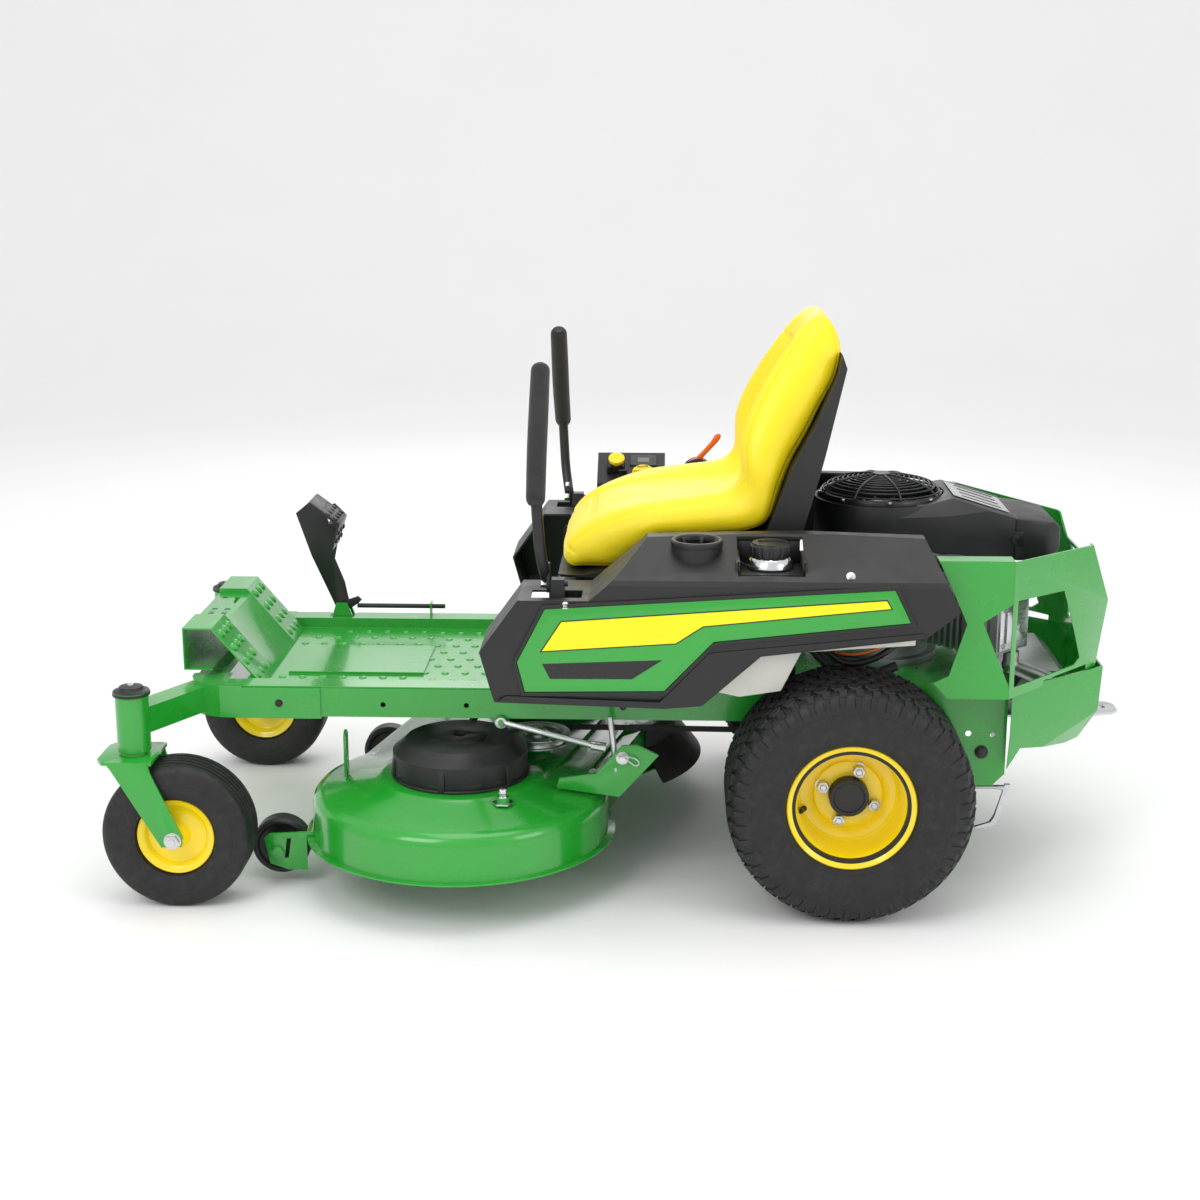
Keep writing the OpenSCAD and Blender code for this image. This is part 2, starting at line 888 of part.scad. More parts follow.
// The cover over the fan, carried back over the cylinders
module blower_housing() {
  top = 712;
  wall = 4;
  side = [[-85, 640], [-200, 620], [-335, 604], [-335, 690], [-216, 726], [-172, 716], [-85, 712]];
  function plan(half) = [[-85, half], [-200, half - 4], [-336, half - 18], [-336, 18 - half],
    [-200, 4 - half], [-85, -half]];
  color("#4c4f52")
    difference() {
      union() {
        z_pin(crank_x, 0, 131, housing_z, top);
        intersection() {
          side_plate(side, -140, 140);
          plan_plate(plan(130), 600, 730);
          cross_plate([[-131, 600], [-131, 690], [-96, 728], [96, 728], [131, 690], [131, 600]],
            -340, -80);
        }
      }
      z_pin(crank_x, 0, 131 - wall, housing_z - 50, top - wall);
      intersection() {
        side_plate([[-84, 590], [-330, 590], [-330, 686], [-216, 720], [-172, 710], [-84, 707]],
          -140, 140);
        plan_plate(plan(130 - wall), 580, 722);
        cross_plate([[-126, 590], [-126, 686], [-92, 723], [92, 723], [126, 686], [126, 590]],
          -331, -80);
      }
      z_pin(crank_x, 0, guard_r - 6, top - 10, top + 20);
      z_pin(crank_x, 0, guard_r + 7, top, top + 30);
    }
}

// The wire dome over the fan
module fan_guard() {
  base = 712.3;
  rings = 7;
  ribs = 10;
  wire = 3.4;
  rise = 38;
  dome = [for (i = [0 : 12]) [guard_r * cos(i * 7.5), base + 2 + rise * sin(i * 7.5)]];
  under = [for (i = [12 : -1 : 0]) [(guard_r - wire) * cos(i * 7.5),
    base + 2 + (rise - wire) * sin(i * 7.5)]];
  color("#2e3032") {
    intersection() {
      translate([crank_x, 0, 0])
        rotate_extrude()
          polygon(concat(dome, under));
      union() {
        for (i = [0 : rings - 1])
          difference() {
            z_pin(crank_x, 0, 18 + i * 16.4, base, base + 50);
            z_pin(crank_x, 0, 18 + i * 16.4 - wire, base - 1, base + 51);
          }
        for (i = [0 : ribs - 1])
          translate([crank_x, 0, base])
            rotate([0, 0, i * 360 / ribs])
              block([8, -wire / 2, 0], [guard_r, wire / 2, 50]);
        z_pin(crank_x, 0, 12, base, base + 50);
      }
    }
    difference() {
      z_pin(crank_x, 0, guard_r + 6, base, base + 6);
      z_pin(crank_x, 0, guard_r - 4, base - 1, base + 7);
    }
  }
}

// The cap that closes the back of the engine cover
module air_filter_cover() {
  front = -335 - clearance;
  color("#3a3c3e")
    intersection() {
      side_plate([[front, 604], [-416, 606], [-430, 624], [-430, 666], [-416, 678], [front, 690]],
        -120, 120);
      plan_plate([[front, 108], [-396, 104], [-430, 78], [-430, -78], [-396, -104], [front, -108]],
        600, 700);
    }
}

// The two pipes, the muffler and the shield over it
module exhaust() {
  muffler = [-398, 335];
  color("#b6b8ba") {
    both_sides()
      bent_bar([[-322, 208, 451.7], [-322, 208, 424], [-400, 176, 384], [-400, 150, 336],
        [-400, 120, 336]], 15);
    y_pin(muffler[0], muffler[1], 50, -122, 122);
    bar([-430, 0, 318], [-486, 0, 300], 17);
    side_plate([[-350, 392], [-350, 389], [-318, 389], [-318, 360], [-315, 360], [-315, 392]],
      -140, 140);
    side_plate([[-456, 372], [-453, 372], [-430, 389], [-350, 389], [-350, 392], [-432, 392]],
      -140, 140);
    for (y = [-90, 90])
      bar([muffler[0], y, 383], [muffler[0], y, 390], 6);
  }
}

// The crankshaft with its fan, drive pulley and clutch
module crankshaft() {
  groove = 4;
  r = 60;
  color("#85888b")
    difference() {
      union() {
        z_pin(crank_x, 0, shaft_r, 222, 700);
        z_pin(crank_x, 0, r + groove, 226, 288);
        z_pin(crank_x, 0, r, 296, 320);
        z_pin(crank_x, 0, 106, 652, 660);
        for (i = [0 : 15])
          translate([crank_x, 0, 0])
            rotate([0, 0, i * 22.5])
              block([60, -2, 659], [104, 2, 690]);
        z_pin(crank_x, 0, 40, 659, 694);
      }
      difference() {
        z_pin(crank_x, 0, r + groove + 1, 230.5, 241.5);
        z_pin(crank_x, 0, r - groove - clearance, 230, 242);
      }
      difference() {
        z_pin(crank_x, 0, r + 1, 303, 313);
        z_pin(crank_x, 0, r - 9, 302, 314);
      }
    }
}

// The two drive units, with their axles and mounting feet
module transaxles() {
  axle_r = 14.25;
  color("#3c3e40")
    both_sides()
      difference() {
        union() {
          block([-118, 152, 150], [62, 232, 300]);
          y_pin(0, axle_z, 62, 152, 246);
          y_pin(0, axle_z, axle_r, 246, 388);
          block([-100, 160, 299], [50, 268, rail_bottom - clearance]);
          block([-126, 231, 176], [-118, 262, 206]);
          z_pin(-70, 118, 36, 296, 320);
          z_pin(-70, 118, 9, 280, 320);
          block([-90, 108, 262], [-50, 153, 282]);
        }
        x_pin(250, 190, 4 + running, -130, -110);
      }
}

// ---------- wheels ----------

// Half of a tyre section (radius, distance from the middle), from bead to tread
function tyre_half(seat, top, half, bead) = [
  [seat, bead], [seat + (top - seat) * 0.12, bead], [seat + (top - seat) * 0.16, half * 0.89],
  [seat + (top - seat) * 0.30, half * 0.96], [seat + (top - seat) * 0.50, half],
  [seat + (top - seat) * 0.70, half * 0.98], [seat + (top - seat) * 0.85, half * 0.93],
  [seat + (top - seat) * 0.95, half * 0.82], [top, half * 0.64]];
function both_halves(half) = concat(half,
  [for (i = [len(half) - 1 : -1 : 0]) [half[i][0], -half[i][1]]]);

// A hollow tyre about the Y axis
module tyre(x, y, z, seat, top, half, bead, wall) {
  translate([x, y, z])
    rotate([90, 0, 0])
      rotate_extrude()
        difference() {
          polygon(both_halves(tyre_half(seat, top, half, bead)));
          offset(delta = -wall)
            polygon(both_halves(tyre_half(seat, top, half, bead)));
          translate([seat - 1, wall * 1.4 - bead])
            square([wall + 2, 2 * bead - 2.8 * wall]);
        }
}

flange_r = 117;
rim_half = 89;
bolt_pcd = 101.6;
valve_angle = 20;

// A drive wheel rim about the Y axis, with its disc, hub and bolts
module drive_rim() {
  barrel = drive_rim_d / 2;
  skin = 3.5;
  disc = drive_y + 10;
  translate([0, drive_y, axle_z])
    rotate([90, 0, 0])
      rotate_extrude() {
        polygon([[barrel - skin, -rim_half], [flange_r, -rim_half - 2], [flange_r, -rim_half + 1],
          [barrel, -rim_half + 3], [barrel, rim_half - 3], [flange_r, rim_half - 1],
          [flange_r, rim_half + 2], [barrel - skin, rim_half]]);
      }
  difference() {
    union() {
      y_pin(0, axle_z, barrel - skin + 0.5, disc, disc + 6);
      y_pin(0, axle_z, 62, disc - 2, disc + 12);
      y_pin(0, axle_z, 34, 350, disc + 6);
      y_pin(0, axle_z, 34, disc + 11, disc + 26);
      for (a = [70 : 90 : 340])
        rotate_about_axle(a)
          y_hex(bolt_pcd / 2, 0, 19, disc + 11, disc + 22);
    }
    y_pin(0, axle_z, 14.25 + running, 340, 390);
  }
  rotate_about_axle(valve_angle)
    y_pin(86, 0, 5, disc + 5, disc + 34);
}

// Turns children, drawn about the origin, around the drive axle
module rotate_about_axle(a) {
  translate([0, 0, axle_z])
    rotate([0, a, 0])
      children();
}

module drive_tyre() {
  tyre(0, drive_y, axle_z, drive_rim_d / 2 + clearance, drive_tyre_d / 2, drive_tyre_w / 2,
    rim_half - 3.5, 11);
}

module drive_rim_left() {
  color("#f2c81e")
    drive_rim();
}

module drive_rim_right() {
  color("#f2c81e")
    mirror([0, 1, 0])
      drive_rim();
}

module drive_tyre_left() {
  color("#1d1d1e")
    drive_tyre();
}

module drive_tyre_right() {
  color("#1d1d1e")
    mirror([0, 1, 0])
      drive_tyre();
}

caster_bolt_r = 8;
stem_r = 20;

// A caster fork with its stem, cap and axle bolt
module caster_fork() {
  leg = [[1372, 292], [1292, 292], [1287, 270], [caster_x - 19, 146], [caster_x - 16, 128],
    [caster_x + 22, 127], [1361, 278]];
  leg_in = caster_tyre_w / 2 + 5;
  difference() {
    union() {
      plan_plate([[1285, 341], [1378, 341], [1390, 360], [1390, 440], [1378, 459], [1285, 459]],
        285, 292);
      for (side = [-1, 1])
        translate([0, pivot_y + side * (leg_in + 3), 0])
          side_plate(leg, -3, 3);
      z_pin(pivot_x, pivot_y, stem_r, 290, 412);
      z_pin(pivot_x, pivot_y, 27, 291, 297.7);
      z_pin(pivot_x, pivot_y, 34, 405.3, 412);
      z_pin(pivot_x, pivot_y, 22, 411, 417);
      z_pin(pivot_x, pivot_y, 9, 416, 422);
      y_pin(caster_x, caster_z, caster_bolt_r, pivot_y - leg_in - 3, pivot_y + leg_in + 3);
      for (side = [-1, 1])
        translate([0, pivot_y + side * (leg_in + 9), 0])
          y_hex(caster_x, caster_z, 24, -4, 4);
    }
    z_pin(pivot_x, pivot_y, 7, 418, 425);
  }
}

// A caster wheel rim with its hub
module caster_rim() {
  barrel = caster_rim_d / 2;
  half = 37.5;
  difference() {
    union() {
      translate([caster_x, pivot_y, caster_z])
        rotate([90, 0, 0])
          rotate_extrude()
            polygon([[barrel - 3.5, -half], [barrel + 8.5, -half - 1.5], [barrel + 8.5, -half + 1],
              [barrel, -half + 3], [barrel, half - 3], [barrel + 8.5, half - 1],
              [barrel + 8.5, half + 1.5], [barrel - 3.5, half]]);
      y_pin(caster_x, caster_z, barrel - 3, pivot_y - 22, pivot_y - 17);
      y_pin(caster_x, caster_z, barrel - 3, pivot_y + 17, pivot_y + 22);
      y_pin(caster_x, caster_z, 24, pivot_y - 54, pivot_y + 54);
    }
    y_pin(caster_x, caster_z, caster_bolt_r + running, pivot_y - 60, pivot_y + 60);
  }
}

module caster_tyre() {
  tyre(caster_x, pivot_y, caster_z, caster_rim_d / 2 + clearance, caster_tyre_d / 2,
    caster_tyre_w / 2, 34, 8);
}

module caster_fork_left() {
  color("#3fb14a")
    caster_fork();
}

module caster_fork_right() {
  color("#3fb14a")
    mirror([0, 1, 0])
      caster_fork();
}

module caster_rim_left() {
  color("#f2c81e")
    caster_rim();
}

module caster_rim_right() {
  color("#f2c81e")
    mirror([0, 1, 0])
      caster_rim();
}

module caster_tyre_left() {
  color("#1d1d1e")
    caster_tyre();
}

module caster_tyre_right() {
  color("#1d1d1e")
    mirror([0, 1, 0])
      caster_tyre();
}

// ---------- mower deck ----------

left_spindle = [left_spindle_x, spindle_y];
right_spindle = [right_spindle_x, -spindle_y];
pulley_r = 62;
idler_at = [598, 112];
housing_r = 38;

// Places children on each spindle centre
module on_spindles() {
  for (c = [left_spindle, right_spindle])
    translate([c[0], c[1], 0])
      children();
}

// A round lobe of the deck with its rolled shoulder
module lobe() {
  rotate_extrude()
    polygon([[0, rim_z], [lobe_r + 14, rim_z], [lobe_r + 14, rim_z + 3], [lobe_r, rim_z + 3],
      [lobe_r, skirt_top], [lobe_r - 3, 177], [lobe_r - 11, 186], [lobe_r - 24, 191],
      [165, deck_top], [158, deck_top + 6], [150, ring_top], [0, ring_top]]);
}

// The space inside a lobe
module lobe_hollow() {
  r = lobe_r - deck_t;
  rotate_extrude()
    polygon([[0, rim_z - 9], [r, rim_z - 9], [r, skirt_top], [r - 3, 175.5], [r - 10, 183.5],
      [r - 22, 188], [164, deck_top - deck_t], [0, deck_top - deck_t]]);
}

// The top and sides between the two lobes, as a plan slice
module bridge(r, z0, z1) {
  translate([0, 0, z0])
    linear_extrude(z1 - z0)
      hull() {
        translate(left_spindle)
          circle(r = r);
        translate(right_spindle)
          circle(r = r);
      }
}

// The stamped deck with its side opening
module deck_shell() {
  color(frame_green) {
    difference() {
      union() {
        on_spindles()
          lobe();
        bridge(250, rim_z, 184);
        bridge(222, 183, 194);
        bridge(165, 193, deck_top);
      }
      on_spindles() {
        lobe_hollow();
        translate([0, 0, 190])
          cylinder(r = housing_r + clearance, h = 40);
      }
      bridge(247, rim_z - 9, 181);
      bridge(162, 180, deck_top - deck_t);
      block([470, -640, rim_z + 3.5], [740, -440, 178]);
    }
    block([467, -556, 178], [743, -500, 182]);
    block([467, -556, rim_z + 3.5], [470, -512, 182]);
    block([740, -556, rim_z + 3.5], [743, -512, 182]);
  }
}

// The belt path: pulley centre, running radius and side (-1 inside the loop, 1 outside)
stations = [[[crank_x, 0], 60, -1], [right_spindle, pulley_r, -1], [left_spindle, pulley_r, -1],
  [idler_at, 64.6, 1]];
function tangent_dir(a, b) =
  let (d = b[0] - a[0], k = b[2] * b[1] - a[2] * a[1], m = norm(d), u = d / m)
  -k / m * u + sqrt(1 - k * k / m / m) * [-u[1], u[0]];
function heading(v) = atan2(v[1], v[0]);
function wrap(a, side) = side < 0 ? (a < 0 ? a + 360 : a) : (a > 0 ? a - 360 : a);
// The points of the belt round station i
function belt_arc(i) =
  let (s = stations[i], before = stations[(i + 3) % 4], after = stations[(i + 1) % 4],
    n0 = s[2] * tangent_dir(before, s), n1 = s[2] * tangent_dir(s, after),
    a0 = heading(n0), turn = wrap(heading(n1) - a0, s[2]), steps = 14)
  [for (j = [0 : steps]) s[0] + s[1] * [cos(a0 + turn * j / steps), sin(a0 + turn * j / steps)]];
belt_loop = concat(belt_arc(0), belt_arc(1), belt_arc(2), belt_arc(3));

module deck_belt() {
  half_w = 3.6;
  color("#1f1f20")
    translate([0, 0, belt_z - 5])
      linear_extrude(10)
        difference() {
          offset(delta = half_w)
            polygon(belt_loop);
          offset(delta = -half_w)
            polygon(belt_loop);
        }
}

// The moulded covers over the spindle pulleys, cut away for the belt
module belt_covers() {
  cover_top = 288;
  difference() {
    color("#2b2b2d")
      on_spindles()
        difference() {
          union() {
            cylinder_at(130, ring_top + clearance, 262);
            translate([0, 0, 262])
              cylinder(r1 = 130, r2 = 104, h = 22);
            cylinder_at(50, 283, cover_top);
          }
          cylinder_at(126, ring_top - 1, 260);
          translate([0, 0, 259.9])
            cylinder(r1 = 126, r2 = 104, h = 18);
          cylinder_at(12, 270, 300);
        }
    translate([0, 0, 221])
      linear_extrude(30)
        offset(delta = 14)
          polygon(belt_loop);
  }
}

// A cylinder about the local Z axis
module cylinder_at(r, z0, z1) {
  translate([0, 0, z0])
    cylinder(r = r, h = z1 - z0);
}

gauge_y = 285;
gauge_dx = 349;
gauge_z = 70;

// The bracket and bolt of a gauge wheel, about a spindle on the left
module gauge_bracket() {
  x = gauge_dx;
  y = gauge_y - spindle_y;
  out = gauge_y + 41 - spindle_y;
  difference() {
    union() {
      side_plate([[x - 90, 32], [x - 90, 104], [x - 60, 110], [x + 14, 106], [x + 26, 96],
        [x + 16, 44], [x - 20, 32]], out, out + 4);
      block([x - 92, out - 60, 104], [x - 55, out + 4, 108]);
      y_pin(x, gauge_z, 8, y - 28, out + 4);
      y_hex(x, gauge_z, 22, out + 4, out + 12);
      y_pin(x, gauge_z, 14, gauge_y + 22 - spindle_y, out);
    }
    translate([0, 0, -5])
      cylinder(r = lobe_r + clearance, h = 300);
    translate([0, 0, -5])
      cylinder(r = lobe_r + 14 + clearance, h = rim_z + 8 + clearance);
    side_plate([[x - 26, 96], [x - 18, 96], [x - 12, 56], [x - 20, 56]], out - 1, out + 5);
  }
}

// The brackets, posts, housings and hinge carried by the deck
module deck_hardware() {
  lift_y = 330;
  color("#7c8084")
    difference() {
      union() {
        on_spindles() {
          cylinder_at(62, ring_top + clearance, 224);
          cylinder_at(housing_r, 140, ring_top + 1);
        }
        translate([left_spindle[0], left_spindle[1], 0])
          gauge_bracket();
        translate([right_spindle[0], right_spindle[1], 0])
          mirror([0, 1, 0])
            gauge_bracket();
        side_plate([[545, 207], [540, 226], [470, 236], [420, 293], [392, 293], [351, 274],
          [425, 190], [475, 197], [500, 200]], lift_y - 2.5, lift_y + 2.5);
        side_plate([[484, ring_top + clearance], [478, 240], [420, 293], [392, 293], [351, 274],
          [375, ring_top + clearance]], -lift_y - 2.5, 2.5 - lift_y);
        cross_plate([[236, 198], [264, 198], [264, 282], [256, 290], [244, 290], [236, 282]],
          left_spindle_x + 222, left_spindle_x + 227);
        cross_plate([[-264, 198], [-236, 198], [-236, 282], [-244, 290], [-256, 290], [-264, 282]],
          right_spindle_x + 222, right_spindle_x + 227);
        z_pin(640, 415, 12, deck_top, 218);
        z_pin(640, 415, 7, 218, 232);
        block([570, 92, deck_top + clearance], [626, 132, 214]);
        z_pin(idler_at[0], idler_at[1], 9, 213, 254);
        z_pin(idler_at[0], idler_at[1], 14, 213, 225.5);
        z_pin(idler_at[0], idler_at[1], 14, 246.5, 254);
        for (x = [500, 706]) {
          block([x, -566, 182 + clearance], [x + 4, -540, 200]);
          block([x - 8, -556, 182 + clearance], [x + 12, -540, 185]);
        }
        x_pin(-560, 194, 4, 494, 716);
      }
      on_spindles()
        cylinder_at(shaft_r + running, 120, 230);
      for (z = [225, 250, 275]) {
        x_pin(250, z, 5, 900, 1000);
        x_pin(-250, z, 5, 800, 900);
      }
      y_pin(420, 268, 6, -340, 340);
    }
}

// The flared skirt round the back of the right lobe
module rear_deflector() {
  r = lobe_r + 3.3;
  color("#2b2b2d")
    translate([right_spindle[0], right_spindle[1], 0])
      rotate([0, 0, 140])
        rotate_extrude(angle = 100)
          polygon([[r, 197], [r + 4, 197], [r + 4, 150], [r + 56, 84], [r + 51, 84], [r, 148]]);
}

// The hinged guard over the side opening
module discharge_chute() {
  knuckle_r = 8.8;
  outline = [[-534, 201], [-560, 203], [-584, 192], [-700, 160], [-772, 116], [-772, 112],
    [-700, 156], [-584, 188], [-566, 188], [-560, 198], [-534, 197]];
  color("#2b2b2d")
    difference() {
      union() {
        x_pin(-560, 194, knuckle_r, 506, 704);
        cross_plate([[-566, 194], [-566, 202], [-600, 194], [-710, 162], [-780, 108], [-780, 103],
          [-708, 156], [-600, 188]], 470, 740);
        for (x = [470, 736])
          cross_plate([[-571, 190], [-600, 190], [-710, 160], [-780, 105], [-700, 104], [-590, 120],
            [-571, 150]], x, x + 4);
      }
      x_pin(-560, 194, 4 + running, 400, 800);
      block([460, -562, 100], [505, -500, 210]);
      block([705, -562, 100], [750, -500, 210]);
      block([498, -580, 180], [506, -530, 210]);
      block([704, -580, 180], [712, -530, 210]);
    }
}

// A spindle shaft with its pulley above and blade below
module spindle() {
  difference() {
    union() {
      cylinder_at(shaft_r, 112, 250);
      cylinder_at(pulley_r + 5, 226, 246);
      cylinder_at(20, 246, 252);
      cylinder_at(30, 126, 138);
    }
    difference() {
      cylinder_at(pulley_r + 6, 230.5, 241.5);
      cylinder_at(pulley_r - 4.6, 230, 242);
    }
    for (a = [0 : 60 : 300])
      rotate([0, 0, a])
        translate([36, 0, 0])
          cylinder_at(10, 220, 250);
  }
  translate([0, 0, 108])
    cylinder(r = 16, h = 10, $fn = 6);
  plan_plate([[-blade_l / 2, -30], [-blade_l / 2 + 20, -33], [blade_l / 2, -33],
    [blade_l / 2, 30], [blade_l / 2 - 20, 33], [-blade_l / 2, 33]], 118, 124);
  for (side = [-1, 1])
    rotate([0, 0, side * 90 + 90])
      cross_plate([[24, 123], [30, 123], [36, 146], [33, 146]], blade_l / 2 - 92,
        blade_l / 2 - 2);
}

module spindle_left() {
  color("#8f9295")
    translate([left_spindle[0], left_spindle[1], 0])
      rotate([0, 0, 76])
        spindle();
}

module spindle_right() {
  color("#8f9295")
    translate([right_spindle[0], right_spindle[1], 0])
      rotate([0, 0, 76])
        spindle();
}

module idler_pulley() {
  color("#b9bcbf")
    translate([idler_at[0], idler_at[1], 0])
      difference() {
        cylinder_at(68, 226, 246);
        difference() {
          cylinder_at(70, 229.5, 242.5);
          cylinder_at(60.5, 229, 243);
        }
        difference() {
          cylinder_at(52, 240, 247);
          cylinder_at(26, 239, 248);
        }
        cylinder_at(9 + running, 220, 250);
      }
}

// A gauge wheel about a spindle on the left
module gauge_wheel() {
  r = gauge_d / 2;
  y = gauge_y - spindle_y;
  translate([gauge_dx, y, gauge_z])
    rotate([90, 0, 0])
      rotate_extrude()
        polygon([[8 + running, -21], [20, -21], [24, -14], [r - 14, -14], [r - 10, -20], [r - 4, -20],
          [r, -15], [r, 15], [r - 4, 20], [r - 10, 20], [r - 14, 14], [24, 14], [20, 21],
          [8 + running, 21]]);
}

module gauge_wheel_left() {
  color("#2b2b2d")
    translate([left_spindle[0], left_spindle[1], 0])
      gauge_wheel();
}

module gauge_wheel_right() {
  color("#2b2b2d")
    translate([right_spindle[0], right_spindle[1], 0])
      mirror([0, 1, 0])
        gauge_wheel();
}

// The two rods that hold the deck fore and aft
module draft_rods() {
  color("#9b9ea1")
    both_sides()
      difference() {
        union() {
          y_pin(rod_pivot[0], rod_pivot[2], 11, 284, 294);
          bar([rod_pivot[0] - 6, 289, rod_pivot[2] - 1], [478, 318, 288], 6);
          bar([480, 318, 288], [452, 318, 284], 9);
        }
        y_pin(rod_pivot[0], rod_pivot[2], 5 + running, 280, 300);
      }
}

frame_rails();
front_frame();
floor_pan();
foot_rest();
rear_panels();
rear_bumper();
hitch_plate();
fender_left();
fender_right();
side_panels();
console();
fuel_tank();
seat_support();
engine_block();
blower_housing();
fan_guard();
air_filter_cover();
exhaust();
transaxles();
fuel_cap();
bypass_rod_left();
bypass_rod_right();
height_dial();
pto_knob();
throttle_lever();
ignition_key();
seat_pad();
seat_shell();
seat_slider();
lever_yoke_left();
lever_yoke_right();
lever_left();
lever_right();
lift_pedal();
pedal_rod();
draft_rods();
deck_shell();
belt_covers();
deck_hardware();
rear_deflector();
discharge_chute();
spindle_left();
spindle_right();
idler_pulley();
crankshaft();
deck_belt();
gauge_wheel_left();
gauge_wheel_right();
drive_tyre_left();
drive_tyre_right();
drive_rim_left();
drive_rim_right();
caster_fork_left();
caster_fork_right();
caster_tyre_left();
caster_tyre_right();
caster_rim_left();
caster_rim_right();
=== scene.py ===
import json
import math
import numpy as np

import bmesh
import bpy
from mathutils import Matrix, Vector, noise

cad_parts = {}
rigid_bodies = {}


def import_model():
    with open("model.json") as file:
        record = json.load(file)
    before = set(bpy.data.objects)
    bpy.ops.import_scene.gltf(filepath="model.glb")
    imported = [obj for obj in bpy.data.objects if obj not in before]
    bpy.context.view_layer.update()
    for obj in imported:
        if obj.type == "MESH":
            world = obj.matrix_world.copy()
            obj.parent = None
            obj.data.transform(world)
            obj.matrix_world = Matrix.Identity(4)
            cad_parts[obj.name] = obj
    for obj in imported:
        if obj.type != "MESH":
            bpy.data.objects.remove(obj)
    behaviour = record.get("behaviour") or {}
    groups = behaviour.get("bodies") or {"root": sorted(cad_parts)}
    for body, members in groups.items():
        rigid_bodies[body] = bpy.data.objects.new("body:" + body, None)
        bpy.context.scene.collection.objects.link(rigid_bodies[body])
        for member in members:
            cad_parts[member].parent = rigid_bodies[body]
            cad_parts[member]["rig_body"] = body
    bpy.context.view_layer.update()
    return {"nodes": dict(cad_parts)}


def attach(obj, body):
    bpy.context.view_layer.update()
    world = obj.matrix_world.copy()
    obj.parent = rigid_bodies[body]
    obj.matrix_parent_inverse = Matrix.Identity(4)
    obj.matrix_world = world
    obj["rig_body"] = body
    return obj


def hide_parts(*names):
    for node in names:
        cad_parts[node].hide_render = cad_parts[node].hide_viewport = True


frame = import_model()
nodes = frame["nodes"]
scene = bpy.context.scene

# ---------- camera ----------
cam = bpy.data.objects.new("camera", bpy.data.cameras.new("camera"))
cam.data.sensor_width = 36
cam.data.lens = 57
cam.data.clip_end = 60
scene.collection.objects.link(cam)
YAW, PITCH = math.radians(2.04), math.radians(14.38)
look = Vector((math.sin(YAW) * math.cos(PITCH), -math.cos(YAW) * math.cos(PITCH), -math.sin(PITCH)))
cam.location = (0.341, 3.738, 1.450)
cam.rotation_euler = look.to_track_quat("-Z", "Y").to_euler()
scene.camera = cam


# ---------- materials ----------
def node_of(tree, kind, **inputs):
    made = tree.nodes.new(kind)
    for key, value in inputs.items():
        made.inputs[key.replace("_", " ")].default_value = value
    return made


